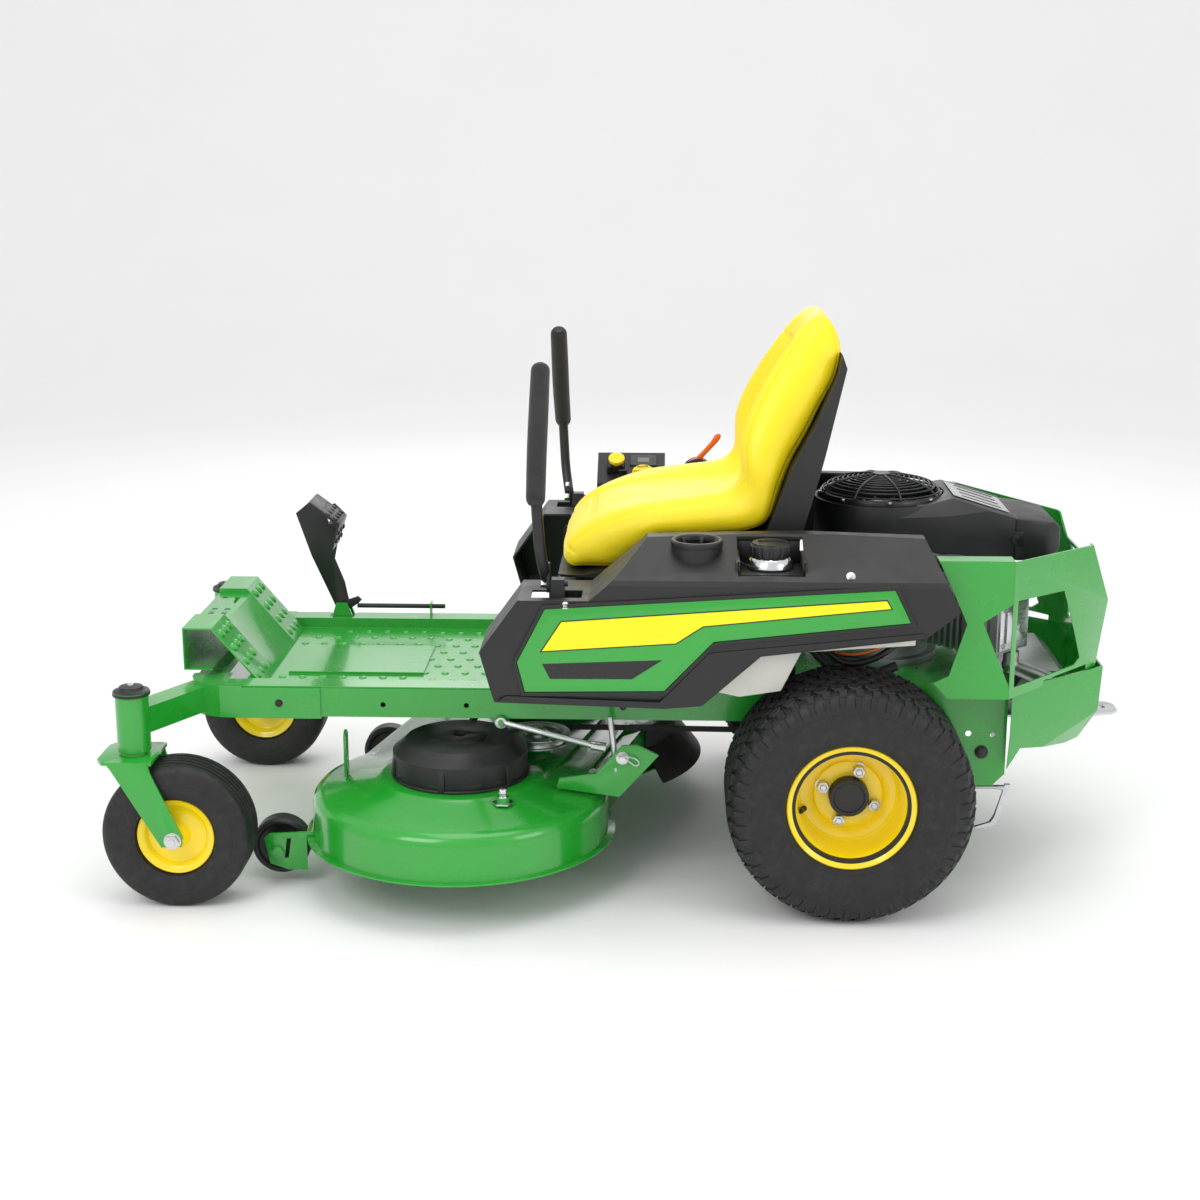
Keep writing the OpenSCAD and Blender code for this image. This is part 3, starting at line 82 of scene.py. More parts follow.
def surface(name, base, rough, metal=0.0, vary=0.10, vary_scale=9.0, rough_vary=0.08, grain=700.0,
            grain_depth=0.00012, grain_kind="noise", stretch=(1, 1, 1), coat=0.0, coat_rough=0.08,
            dust=0.0, sheen=0.0, soft=0.0):
    """A procedural material: tone variation, uneven gloss, fine relief and, where asked, dust."""
    mat = bpy.data.materials.new(name)
    mat.use_nodes = True
    tree = mat.node_tree
    link = tree.links.new
    bsdf = tree.nodes["Principled BSDF"]
    bsdf.inputs["Metallic"].default_value = metal
    bsdf.inputs["Coat Weight"].default_value = coat
    bsdf.inputs["Coat Roughness"].default_value = coat_rough
    bsdf.inputs["Sheen Weight"].default_value = sheen
    bsdf.inputs["Subsurface Weight"].default_value = soft
    bsdf.inputs["Subsurface Scale"].default_value = 0.01
    place = tree.nodes.new("ShaderNodeTexCoord")
    scale = tree.nodes.new("ShaderNodeMapping")
    scale.inputs["Scale"].default_value = stretch
    link(place.outputs["Object"], scale.inputs["Vector"])
    tone = node_of(tree, "ShaderNodeTexNoise", Scale=vary_scale, Detail=5.0, Roughness=0.6)
    link(place.outputs["Object"], tone.inputs["Vector"])
    ramp = tree.nodes.new("ShaderNodeValToRGB")
    ramp.color_ramp.elements[0].position = 0.3
    ramp.color_ramp.elements[1].position = 0.7
    ramp.color_ramp.elements[0].color = [c * (1 - vary) for c in base] + [1]
    ramp.color_ramp.elements[1].color = [min(1, c * (1 + vary)) for c in base] + [1]
    link(tone.outputs["Fac"], ramp.inputs["Fac"])
    colour = ramp.outputs["Color"]
    if dust:
        spots = node_of(tree, "ShaderNodeTexNoise", Scale=45.0, Detail=8.0, Roughness=0.7)
        link(place.outputs["Object"], spots.inputs["Vector"])
        mask = node_of(tree, "ShaderNodeMapRange", From_Min=0.52, From_Max=0.78, To_Min=0.0, To_Max=dust)
        link(spots.outputs["Fac"], mask.inputs["Value"])
        mix = tree.nodes.new("ShaderNodeMix")
        mix.data_type = "RGBA"
        mix.inputs[7].default_value = (0.16, 0.15, 0.13, 1)
        link(mask.outputs["Result"], mix.inputs[0])
        link(colour, mix.inputs[6])
        colour = mix.outputs[2]
    link(colour, bsdf.inputs["Base Color"])
    gloss = node_of(tree, "ShaderNodeTexNoise", Scale=vary_scale * 4, Detail=4.0)
    link(scale.outputs["Vector"], gloss.inputs["Vector"])
    spread = node_of(tree, "ShaderNodeMapRange", From_Min=0.3, From_Max=0.7,
                     To_Min=max(0.02, rough - rough_vary), To_Max=min(1, rough + rough_vary))
    link(gloss.outputs["Fac"], spread.inputs["Value"])
    link(spread.outputs["Result"], bsdf.inputs["Roughness"])
    if grain_kind == "cells":
        relief = node_of(tree, "ShaderNodeTexVoronoi", Scale=grain)
        relief.feature = "SMOOTH_F1"
        height = relief.outputs["Distance"]
    elif grain_kind == "pores":
        relief = node_of(tree, "ShaderNodeTexVoronoi", Scale=grain)
        height = relief.outputs["Distance"]
    else:
        relief = node_of(tree, "ShaderNodeTexNoise", Scale=grain, Detail=3.0)
        height = relief.outputs["Fac"]
    link(scale.outputs["Vector"], relief.inputs["Vector"])
    bump = node_of(tree, "ShaderNodeBump", Strength=0.5, Distance=grain_depth)
    link(height, bump.inputs["Height"])
    link(bump.outputs["Normal"], bsdf.inputs["Normal"])
    return mat


GREEN = surface("green_paint", (0.014, 0.335, 0.024), 0.26, vary=0.05, vary_scale=3, grain=260,
                grain_depth=0.00010, coat=0.7, coat_rough=0.10, rough_vary=0.05)
YELLOW = surface("yellow_paint", (0.94, 0.70, 0.004), 0.32, vary=0.04, vary_scale=5, grain=260,
                 grain_depth=0.00010, coat=0.6, rough_vary=0.05)
STRIPE = surface("yellow_film", (0.95, 0.80, 0.002), 0.38, vary=0.02, grain=900, grain_depth=0.00004)
BLACK_FILM = surface("black_film", (0.012, 0.012, 0.013), 0.30, vary=0.1, grain=900, grain_depth=0.00004)
PLASTIC = surface("moulded_plastic", (0.012, 0.012, 0.013), 0.44, vary=0.12, vary_scale=6, grain=1100,
                  grain_depth=0.00035, grain_kind="cells", rough_vary=0.07)
GREY_PLASTIC = surface("grey_plastic", (0.045, 0.047, 0.050), 0.46, vary=0.10, grain=1000,
                       grain_depth=0.0003, grain_kind="cells")
PALE_PLASTIC = surface("pale_plastic", (0.42, 0.43, 0.43), 0.42, vary=0.05, grain=900, grain_depth=0.0002)
POWDER = surface("powder_coat", (0.009, 0.009, 0.010), 0.38, vary=0.15, grain=420, grain_depth=0.00020,
                 rough_vary=0.08)
TYRE = surface("tyre_rubber", (0.007, 0.007, 0.0075), 0.56, vary=0.25, vary_scale=18, grain=600,
               grain_depth=0.0003, rough_vary=0.10, dust=0.12)
RUBBER = surface("soft_rubber", (0.010, 0.010, 0.011), 0.60, vary=0.18, grain=700,
                 grain_depth=0.0003, dust=0.12)
FOAM = surface("foam_grip", (0.012, 0.012, 0.013), 0.80, vary=0.2, grain=900, grain_depth=0.0007,
               grain_kind="pores", sheen=0.2)
VINYL = surface("yellow_vinyl", (0.95, 0.745, 0.004), 0.44, vary=0.035, vary_scale=7, grain=340,
                grain_depth=0.0007, grain_kind="cells", rough_vary=0.07, coat=0.12, coat_rough=0.3)
ZINC = surface("zinc_plate", (0.62, 0.63, 0.64), 0.33, metal=1.0, vary=0.10, grain=300, grain_depth=0.0001,
               stretch=(1, 1, 6), rough_vary=0.10)
STEEL = surface("bare_steel", (0.45, 0.45, 0.46), 0.40, metal=1.0, vary=0.15, grain=240,
                grain_depth=0.00015, stretch=(1, 8, 1), rough_vary=0.10)
CAST = surface("cast_aluminium", (0.34, 0.35, 0.36), 0.55, metal=0.85, vary=0.12, grain=420,
               grain_depth=0.0005, grain_kind="noise")
CHROME = surface("bright_ring", (0.75, 0.76, 0.77), 0.18, metal=1.0, vary=0.04, grain=500,
                 grain_depth=0.00003, rough_vary=0.04)
TANK = surface("tank_plastic", (0.66, 0.66, 0.60), 0.45, vary=0.05, grain=500, grain_depth=0.0002, soft=0.2)
ORANGE = surface("orange_plastic", (0.83, 0.14, 0.008), 0.36, vary=0.04, grain=900, grain_depth=0.0001)
YELLOW_PLASTIC = surface("yellow_plastic", (0.93, 0.68, 0.006), 0.36, vary=0.04, grain=900,
                         grain_depth=0.0001)
SCREEN = surface("display_glass", (0.16, 0.18, 0.16), 0.10, vary=0.05, grain=1200,
                 grain_depth=0.00001, coat=1.0)
FLOOR = surface("pale_floor", (0.93, 0.93, 0.93), 0.62, vary=0.008, vary_scale=1.5, grain=160,
                grain_depth=0.00005)


# ---------- mesh helpers ----------
def shade(obj, angle=35):
    """Smooth faces, with edges sharper than the angle left hard."""
    mesh = obj.data
    bm = bmesh.new()
    bm.from_mesh(mesh)
    limit = math.radians(angle)
    for f in bm.faces:
        f.smooth = True
    for e in bm.edges:
        e.smooth = len(e.link_faces) == 2 and e.calc_face_angle(0) < limit
    bm.to_mesh(mesh)
    bm.free()


def bake(obj):
    """Applies every modifier."""
    view = bpy.context.view_layer
    view.update()
    made = bpy.data.meshes.new_from_object(obj.evaluated_get(bpy.context.evaluated_depsgraph_get()))
    old = obj.data
    obj.modifiers.clear()
    obj.data = made
    made.name = obj.name
    bpy.data.meshes.remove(old)


def round_edges(obj, width, segments=2, angle=30):
    mod = obj.modifiers.new("edges", "BEVEL")
    mod.width = width
    mod.segments = segments
    mod.limit_method = "ANGLE"
    mod.angle_limit = math.radians(angle)
    mod.miter_outer = "MITER_ARC"
    bake(obj)


class Piece:
    """Gathers shapes into one mesh, in metres, in the part's frame."""

    def __init__(self, name, at=(0, 0, 0), turn=None):
        self.name = name
        self.bm = bmesh.new()
        self.place(at, turn)

    def place(self, at=(0, 0, 0), turn=None):
        self.m = Matrix.Translation(Vector(at)) @ (turn or Matrix.Identity(4))
        return self

    def add(self, verts, faces):
        made = [self.bm.verts.new(self.m @ Vector(v)) for v in verts]
        for f in faces:
            try:
                self.bm.faces.new([made[i] for i in f])
            except ValueError:
                pass
        return self

    def box(self, lo, hi):
        x, y, z = zip(lo, hi)
        v = [(x[i], y[j], z[k]) for i in (0, 1) for j in (0, 1) for k in (0, 1)]
        return self.add(v, [(0, 1, 3, 2), (4, 6, 7, 5), (0, 4, 5, 1), (2, 3, 7, 6), (0, 2, 6, 4),
                            (1, 5, 7, 3)])

    def prism(self, outline, lo, hi, plane="xz"):
        """A flat outline carried from lo to hi along the axis it lacks."""
        def at(p, h):
            return {"xz": (p[0], h, p[1]), "xy": (p[0], p[1], h), "yz": (h, p[0], p[1])}[plane]
        n = len(outline)
        v = [at(p, lo) for p in outline] + [at(p, hi) for p in outline]
        f = [tuple(range(n)), tuple(range(2 * n - 1, n - 1, -1))]
        f += [(i, n + i, n + (i + 1) % n, (i + 1) % n) for i in range(n)]
        return self.add(v, f)

    def lathe(self, profile, seg=64, closed=False):
        """A profile of (radius, height) turned about the local Z axis."""
        n = len(profile)
        v, f = [], []
        for i in range(seg):
            c, s = math.cos(2 * math.pi * i / seg), math.sin(2 * math.pi * i / seg)
            v += [(max(r, 1e-5) * c, max(r, 1e-5) * s, h) for r, h in profile]
        for i in range(seg):
            a, b = i * n, (i + 1) % seg * n
            f += [(a + j, b + j, b + (j + 1) % n, a + (j + 1) % n) for j in range(n if closed else n - 1)]
        if not closed:
            f += [tuple(i * n for i in range(seg))[::-1], tuple(i * n + n - 1 for i in range(seg))]
        return self.add(v, f)

    def rod(self, a, b, r, seg=16, r2=None):
        """A round bar between two points."""
        a, b = Vector(a), Vector(b)
        keep = self.m
        self.m = keep @ Matrix.Translation(a) @ (b - a).to_track_quat("Z", "Y").to_matrix().to_4x4()
        self.lathe([(r, 0), (r2 or r, (b - a).length)], seg)
        self.m = keep
        return self

    def hexa(self, a, b, across):
        """A hexagon head from a to b."""
        return self.rod(a, b, across / math.sqrt(3), 6)

    def tube(self, route, r, seg=14, steps=8, ring=None):
        """A tube along a smooth route; ring(t) scales its radius."""
        pts = smooth_route(route, steps)
        frames, side = [], None
        for i, p in enumerate(pts):
            t = (pts[min(i + 1, len(pts) - 1)] - pts[max(i - 1, 0)]).normalized()
            if side is None:
                side = t.orthogonal().normalized()
            side = (side - side.dot(t) * t).normalized()
            frames.append((p, side, t.cross(side)))
        v, f = [], []
        for i, (p, u, w) in enumerate(frames):
            k = r * (ring(i / (len(frames) - 1)) if ring else 1)
            v += [p + k * (math.cos(a) * u + math.sin(a) * w) for a in
                  (2 * math.pi * j / seg for j in range(seg))]
        for i in range(len(frames) - 1):
            f += [(i * seg + j, i * seg + (j + 1) % seg, (i + 1) * seg + (j + 1) % seg, (i + 1) * seg + j)
                  for j in range(seg)]
        f += [tuple(range(seg))[::-1], tuple(len(v) - seg + j for j in range(seg))]
        return self.add(v, f)

    def done(self, mat, body, bevel=0, angle=35, segments=2, mirror=False, slot=None):
        if mirror:
            self.bm.transform(Matrix.Diagonal((1, -1, 1, 1)))
        bmesh.ops.recalc_face_normals(self.bm, faces=self.bm.faces)
        mesh = bpy.data.meshes.new(self.name)
        self.bm.to_mesh(mesh)
        self.bm.free()
        obj = bpy.data.objects.new(self.name, mesh)
        scene.collection.objects.link(obj)
        mesh.materials.append(mat)
        if bevel:
            round_edges(obj, bevel, segments)
        shade(obj, angle)
        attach(obj, body)
        return obj


def smooth_route(route, steps):
    """Points on a Catmull-Rom curve through the route."""
    p = [Vector(q) for q in route]
    if len(p) < 3 or steps < 2:
        return p
    p = [2 * p[0] - p[1]] + p + [2 * p[-1] - p[-2]]
    out = []
    for i in range(1, len(p) - 2):
        a, b, c, d = p[i - 1:i + 3]
        for k in range(steps):
            t = k / steps
            out.append(0.5 * (2 * b + (c - a) * t + (2 * a - 5 * b + 4 * c - d) * t * t
                              + (3 * b - a - 3 * c + d) * t ** 3))
    return out + [p[-2]]


def rounded_corners(route, radius, steps=6):
    """A polyline whose corners are turned into arcs."""
    p = [Vector(q) for q in route]
    out = [p[0]]
    for a, b, c in zip(p, p[1:], p[2:]):
        u, w = (a - b).normalized(), (c - b).normalized()
        cut = min(radius, (a - b).length * 0.49, (c - b).length * 0.49)
        s, e = b + u * cut, b + w * cut
        out += [(1 - t) ** 2 * s + 2 * t * (1 - t) * b + t * t * e
                for t in (k / steps for k in range(steps + 1))]
    return out + [p[-1]]


ALONG_Y = Matrix.Rotation(math.radians(-90), 4, "X")   # local Z points along +Y

def soften(node, mat, width=0.0012, angle=35, segments=2):
    """A copy of a CAD node with rounded edges, standing for it."""
    src = nodes[node]
    mesh = src.data.copy()
    obj = bpy.data.objects.new(node + "_finish", mesh)
    scene.collection.objects.link(obj)
    bm = bmesh.new()
    bm.from_mesh(mesh)
    bmesh.ops.remove_doubles(bm, verts=bm.verts, dist=2e-5)
    bmesh.ops.dissolve_limit(bm, angle_limit=math.radians(0.6), verts=bm.verts, edges=bm.edges)
    bm.to_mesh(mesh)
    bm.free()
    mesh.materials.clear()
    mesh.materials.append(mat)
    if width:
        round_edges(obj, width, segments, 40)
    shade(obj, angle)
    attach(obj, src["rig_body"])
    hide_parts(node)
    return obj


SIDES = (("left", 1, False), ("right", -1, True))
DRIVE = (0, 0.394, 0.2285)           # centre of the left drive wheel
CASTER = (1.252, 0.4, 0.1397)        # centre of the left caster wheel
PIVOT = (1.33, 0.4)                  # axis of its fork

# ---------- CAD parts that keep their shape ----------
SHEET = ("rear_bumper", "rear_panels", "front_frame", "foot_rest", "floor_pan", "side_panels", "fender_left",
         "fender_right", "console", "frame_rails", "seat_support", "seat_shell")
for node, mat, width in (
        ("frame_rails", GREEN, 0.0015), ("front_frame", GREEN, 0.0015), ("foot_rest", GREEN, 0.0012),
        ("floor_pan", GREEN, 0.0012), ("rear_panels", GREEN, 0.0012), ("rear_bumper", GREEN, 0.0014),
        ("side_panels", GREEN, 0.0010), ("deck_shell", GREEN, 0.0010), ("hitch_plate", ZINC, 0.0010),
        ("fender_left", PLASTIC, 0.0025), ("fender_right", PLASTIC, 0.0025), ("console", PLASTIC, 0.004),
        ("fuel_tank", TANK, 0.006), ("seat_support", POWDER, 0.0012), ("engine_block", CAST, 0.0012),
        ("blower_housing", PLASTIC, 0.0035), ("air_filter_cover", PLASTIC, 0.006),
        ("transaxles", CAST, 0.002), ("seat_shell", PLASTIC, 0.004), ("seat_slider", STEEL, 0.0008),
        ("lever_yoke_left", POWDER, 0.0015), ("lever_yoke_right", POWDER, 0.0015),
        ("lift_pedal", POWDER, 0.0012), ("belt_covers", PLASTIC, 0.003), ("deck_hardware", GREEN, 0.0008),
        ("rear_deflector", RUBBER, 0.0012), ("discharge_chute", PLASTIC, 0.0015),
        ("spindle_left", STEEL, 0.0008), ("spindle_right", STEEL, 0.0008), ("idler_pulley", ZINC, 0.0012),
        ("crankshaft", STEEL, 0.001),
        ("caster_fork_left", GREEN, 0.0015), ("caster_fork_right", GREEN, 0.0015),
        ("gauge_wheel_left", PLASTIC, 0.0015), ("gauge_wheel_right", PLASTIC, 0.0015),
        ("height_dial", YELLOW_PLASTIC, 0.0012), ("pto_knob", YELLOW_PLASTIC, 0.0015),
        ("ignition_key", PLASTIC, 0.0006), ("fuel_cap", PLASTIC, 0.0015),
        ("pedal_rod", POWDER, 0.0006), ("draft_rods", ZINC, 0.0006), ("exhaust", STEEL, 0.0008),
        ("bypass_rod_left", ZINC, 0.0006), ("bypass_rod_right", ZINC, 0.0006), ("deck_belt", RUBBER, 0)):
    soften(node, mat, width, 14 if node in SHEET else 35)


# ---------- wheels ----------
def tyre_radius(y, seat, top, half):
    """Outside radius of the tread at a distance from the middle."""
    rows = ((0, top), (half * 0.64, top), (half * 0.82, seat + (top - seat) * 0.95),
            (half * 0.93, seat + (top - seat) * 0.85), (half * 0.98, seat + (top - seat) * 0.70),
            (half, seat + (top - seat) * 0.5))
    y = abs(y)
    for (a, ra), (b, rb) in zip(rows, rows[1:]):
        if y <= b:
            return ra + (rb - ra) * (y - a) / (b - a)
    return rows[-1][1]


def smooth_section(seat, top, half, bead, groove=()):
    """Tyre section as a rounded closed loop, with grooves round the tread."""
    pts = []
    key = [(seat, bead), (seat + (top - seat) * 0.12, bead), (seat + (top - seat) * 0.17, half * 0.90),
           (seat + (top - seat) * 0.32, half * 0.965), (seat + (top - seat) * 0.50, half),
           (seat + (top - seat) * 0.68, half * 0.985), (seat + (top - seat) * 0.83, half * 0.94),
           (seat + (top - seat) * 0.93, half * 0.855), (seat + (top - seat) * 0.985, half * 0.73),
           (top, half * 0.58)]
    for p in smooth_route([(r, h, 0) for r, h in key[2:]], 4):
        pts.append((p.x, p.y))
    pts = key[:2] + pts
    tread = []
    for y, w, d in sorted(groove, key=lambda g: -g[0]):
        tread += [(top, y + w), (top - d, y + w * 0.7), (top - d, y - w * 0.7), (top, y - w)]
    mirror = [(r, -h) for r, h in pts][::-1]
    inner = [(seat, -bead + 0.012), (top - 0.014, -half * 0.72), (top - 0.014, half * 0.72),
             (seat, bead - 0.012)]
    return pts + tread + mirror + inner


SEAT, TOP, HALF = 0.1018, 0.2278, 0.105      # drive tyre: bead seat, tread radius, half width
AROUND = 46                                  # tread blocks in one row


def on_tread(angle, y, lift, sgn=1, out=0.0):
    r = tyre_radius(y, SEAT, TOP, HALF) + lift
    return r * math.cos(angle), r * math.sin(angle), sgn * (y + out)


def tread_block(p, y, a0, twist):
    """An eight-sided block with sloping flanks and a bevelled top."""
    corners = [math.radians(22.5 + 45 * c + twist) for c in range(8)]
    verts = [on_tread(a0 + 0.0138 * grow * math.cos(t) / TOP, y + 0.0118 * grow * math.sin(t), lift)
             for lift, grow in ((-0.0095, 1.06), (-0.0012, 1.0), (0.0, 0.88)) for t in corners]
    faces = [tuple(range(16, 24))]
    for low in (0, 8):
        faces += [(low + c, low + (c + 1) % 8, low + 8 + (c + 1) % 8, low + 8 + c) for c in range(8)]
    p.add(verts, faces)


def shoulder_lug(p, a0, sgn, ends, proud):
    """A tapering lug from the tread's edge down the shoulder; ends are (Y, half width)."""
    verts = []
    for lift, grow in ((-0.010, 1.1), (0.0, 0.9)):
        out = proud if lift == 0 else 0
        verts += [on_tread(a0 + turn * w * grow / TOP, y, lift + proud, sgn, out)
                  for y, w in ends for turn in (-1, 1)]
    p.add(verts, [(4, 5, 7, 6), (0, 1, 5, 4), (1, 3, 7, 5), (3, 2, 6, 7), (2, 0, 4, 6)])


def side_rings(p, section, rings, seg):
    """Fine raised rings on both side walls: (radius, size)."""
    for r, w in rings:
        h = side_height(r, *section)
        for sgn in (1, -1):
            p.lathe([(r + w * 1.6 * math.cos(t), sgn * (h + w * math.sin(t) - 0.0002)) for t in
                     (math.pi * q / 5 for q in range(6))], seg, closed=True)


def drive_tyre(side, mirror):
    p = Piece("drive_tyre_tread_" + side, DRIVE, ALONG_Y)
    p.lathe(smooth_section(SEAT, TOP - 0.006, HALF, 0.0855), 120, closed=True)
    rows, pitch = 6, 0.0262
    for row in range(rows):
        for k in range(AROUND):
            tread_block(p, (row - (rows - 1) / 2) * pitch, 2 * math.pi * (k + 0.5 * (row % 2)) / AROUND,
                        10 * (-1) ** row)
    for sgn in (1, -1):
        for k in range(AROUND):
            first = k + (0.25 if sgn > 0 else 0.75)
            for shift, ends, proud in ((0, ((0.079, 0.0082), (0.0925, 0.0070)), 0),
                                       (0.12, ((0.0940, 0.0066), (0.1012, 0.0050)), 0.0015)):
                shoulder_lug(p, 2 * math.pi * (first + shift) / AROUND, sgn, ends, proud)
    side_rings(p, (SEAT, TOP - 0.006, HALF),
               ((0.128, 0.0011), (0.149, 0.0009), (0.181, 0.0012), (0.186, 0.0009)), 110)
    obj = p.done(TYRE, "drive_wheel_" + side, angle=32, mirror=mirror, slot="drive_tyre_" + side)
    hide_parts("drive_tyre_" + side)


def side_height(r, seat, top, half):
    """How far the side wall stands from the tyre's middle at a radius."""
    rows = ((seat + (top - seat) * 0.17, half * 0.90), (seat + (top - seat) * 0.32, half * 0.965),
            (seat + (top - seat) * 0.50, half), (seat + (top - seat) * 0.68, half * 0.985),
            (seat + (top - seat) * 0.83, half * 0.94))
    for (a, ha), (b, hb) in zip(rows, rows[1:]):
        if r <= b:
            return ha + (hb - ha) * (r - a) / (b - a)
    return rows[-1][1]


def caster_tyre(side, mirror):
    p = Piece("caster_tyre_tread_" + side, CASTER, ALONG_Y)
    grooves = [(y, 0.0026, 0.0045) for y in (-0.021, -0.007, 0.007, 0.021)]
    p.lathe(smooth_section(0.0638, 0.1397, 0.051, 0.034, grooves), 120, closed=True)
    side_rings(p, (0.0638, 0.1397, 0.051), ((0.082, 0.0008), (0.108, 0.0010)), 96)
    obj = p.done(TYRE, "caster_wheel_" + side, angle=40, mirror=mirror, slot="caster_tyre_" + side)
    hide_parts("caster_tyre_" + side)


def rims(side, mirror):
    """The two rims of one side, turned profiles with pressed discs."""
    p = Piece("drive_rim_disc_" + side, DRIVE, ALONG_Y)
    outer = [(0.0145, 0.0125), (0.0520, 0.0130), (0.0600, 0.0132), (0.0630, 0.0120), (0.0650, 0.0085),
             (0.0690, 0.0062), (0.0800, 0.0058), (0.0880, 0.0070), (0.0925, 0.0120), (0.0945, 0.0230),
             (0.0955, 0.0420), (0.0965, 0.0600), (0.0985, 0.0700), (0.1030, 0.0760), (0.1050, 0.0800),
             (0.1075, 0.0850), (0.1120, 0.0880), (0.1160, 0.0905), (0.1180, 0.0890), (0.1178, 0.0868),
             (0.1140, 0.0850), (0.1090, 0.0820), (0.1040, 0.0760)]
    inner = [(r, -h) for r, h in outer[:10:-1]] + [(0.0930, -0.0500), (0.0930, -0.0050), (0.0900, 0.0015),
                                                    (0.0690, 0.0015), (0.0640, 0.0060), (0.0145, 0.0060)]
    p.lathe(outer + [(0.1018, 0.0700), (0.1018, -0.0700)] + inner, 96, closed=True)
    p.rod((0, 0, -0.044), (0, 0, 0.008), 0.034, 48)
    obj = p.done(YELLOW, "drive_wheel_" + side, angle=28, mirror=mirror, slot="drive_rim_" + side)
    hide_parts("drive_rim_" + side)
    p = Piece("caster_rim_disc_" + side, CASTER, ALONG_Y)
    outer = [(0.0082, 0.0540), (0.0160, 0.0540), (0.0180, 0.0525), (0.0185, 0.0430), (0.0220, 0.0330),
             (0.0260, 0.0268), (0.0330, 0.0240), (0.0430, 0.0222), (0.0500, 0.0225), (0.0545, 0.0250),
             (0.0575, 0.0300), (0.0600, 0.0340), (0.0625, 0.0362), (0.0680, 0.0380), (0.0715, 0.0398),
             (0.0728, 0.0388), (0.0724, 0.0372), (0.0660, 0.0345), (0.0636, 0.0310)]
    p.lathe(outer + [(r, -h) for r, h in outer[::-1]], 80, closed=True)
    obj = p.done(YELLOW, "caster_wheel_" + side, angle=28, mirror=mirror, slot="caster_rim_" + side)
    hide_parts("caster_rim_" + side)


def wheel_trim(side, mirror):
    """Hub cap, lug bolts and valve of a drive wheel; bolt heads and pivot cap of a caster."""
    body = "drive_wheel_" + side
    y = DRIVE[1]
    Piece("hub_cap_" + side, (0, y + 0.010, DRIVE[2]), ALONG_Y).lathe(
        [(0, 0.004), (0.0368, 0.004), (0.0368, 0.0215), (0.0350, 0.0262), (0.0300, 0.0272), (0.0285, 0.0262),
         (0.0275, 0.0232), (0, 0.0228)], 64).done(PLASTIC, body, mirror=mirror)
    p = Piece("lug_bolts_" + side)
    for k in range(4):
        a = math.radians(20 + 90 * k)
        c = Vector((0.0508 * math.cos(a), 0, DRIVE[2] + 0.0508 * math.sin(a)))
        p.hexa(c + Vector((0, y + 0.0095, 0)), c + Vector((0, y + 0.0285, 0)), 0.0200)
        p.rod(c + Vector((0, y + 0.008, 0)), c + Vector((0, y + 0.0125, 0)), 0.0148, 24)
        p.rod(c + Vector((0, y + 0.028, 0)), c + Vector((0, y + 0.0305, 0)), 0.0072, 20, 0.0050)
    p.done(ZINC, body, bevel=0.0008, mirror=mirror)
    a = math.radians(-20)
    c = Vector((0.086 * math.cos(a), y + 0.012, DRIVE[2] + 0.086 * math.sin(a)))
    Piece("valve_" + side).rod(c, c + Vector((0.003, 0.012, 0.002)), 0.0058, 20, 0.0046).rod(
        c + Vector((0.003, 0.012, 0.002)), c + Vector((0.008, 0.034, 0.006)), 0.0040, 20).done(
        RUBBER, body, bevel=0.0006, mirror=mirror)
    Piece("caster_bolts_" + side).hexa((1.252, 0.462, 0.1397), (1.252, 0.4715, 0.1397), 0.0255).rod(
        (1.252, 0.4588, 0.1397), (1.252, 0.4635, 0.1397), 0.0165, 32).rod(
        (1.252, 0.471, 0.1397), (1.252, 0.4738, 0.1397), 0.0075, 20).hexa(
        (1.252, 0.338, 0.1397), (1.252, 0.3285, 0.1397), 0.0255).done(
        ZINC, "caster_fork_" + side, bevel=0.0009, mirror=mirror)
    Piece("pivot_cap_" + side, (1.33, 0.4, 0)).lathe(
        [(0, 0.404), (0.0345, 0.4052), (0.0350, 0.4085), (0.0332, 0.4132), (0.0250, 0.4150), (0.0222, 0.4180),
         (0.0215, 0.4212), (0.0120, 0.4225), (0, 0.4225)], 64).done(
        PLASTIC, "caster_fork_" + side, mirror=mirror)
    Piece("pivot_stud_" + side).rod((1.33, 0.4, 0.420), (1.33, 0.4, 0.4262), 0.0062, 24).done(
        ZINC, "caster_fork_" + side, bevel=0.0006, mirror=mirror)


for side, sgn, mirror in SIDES:
    drive_tyre(side, mirror)
    caster_tyre(side, mirror)
    rims(side, mirror)
    wheel_trim(side, mirror)


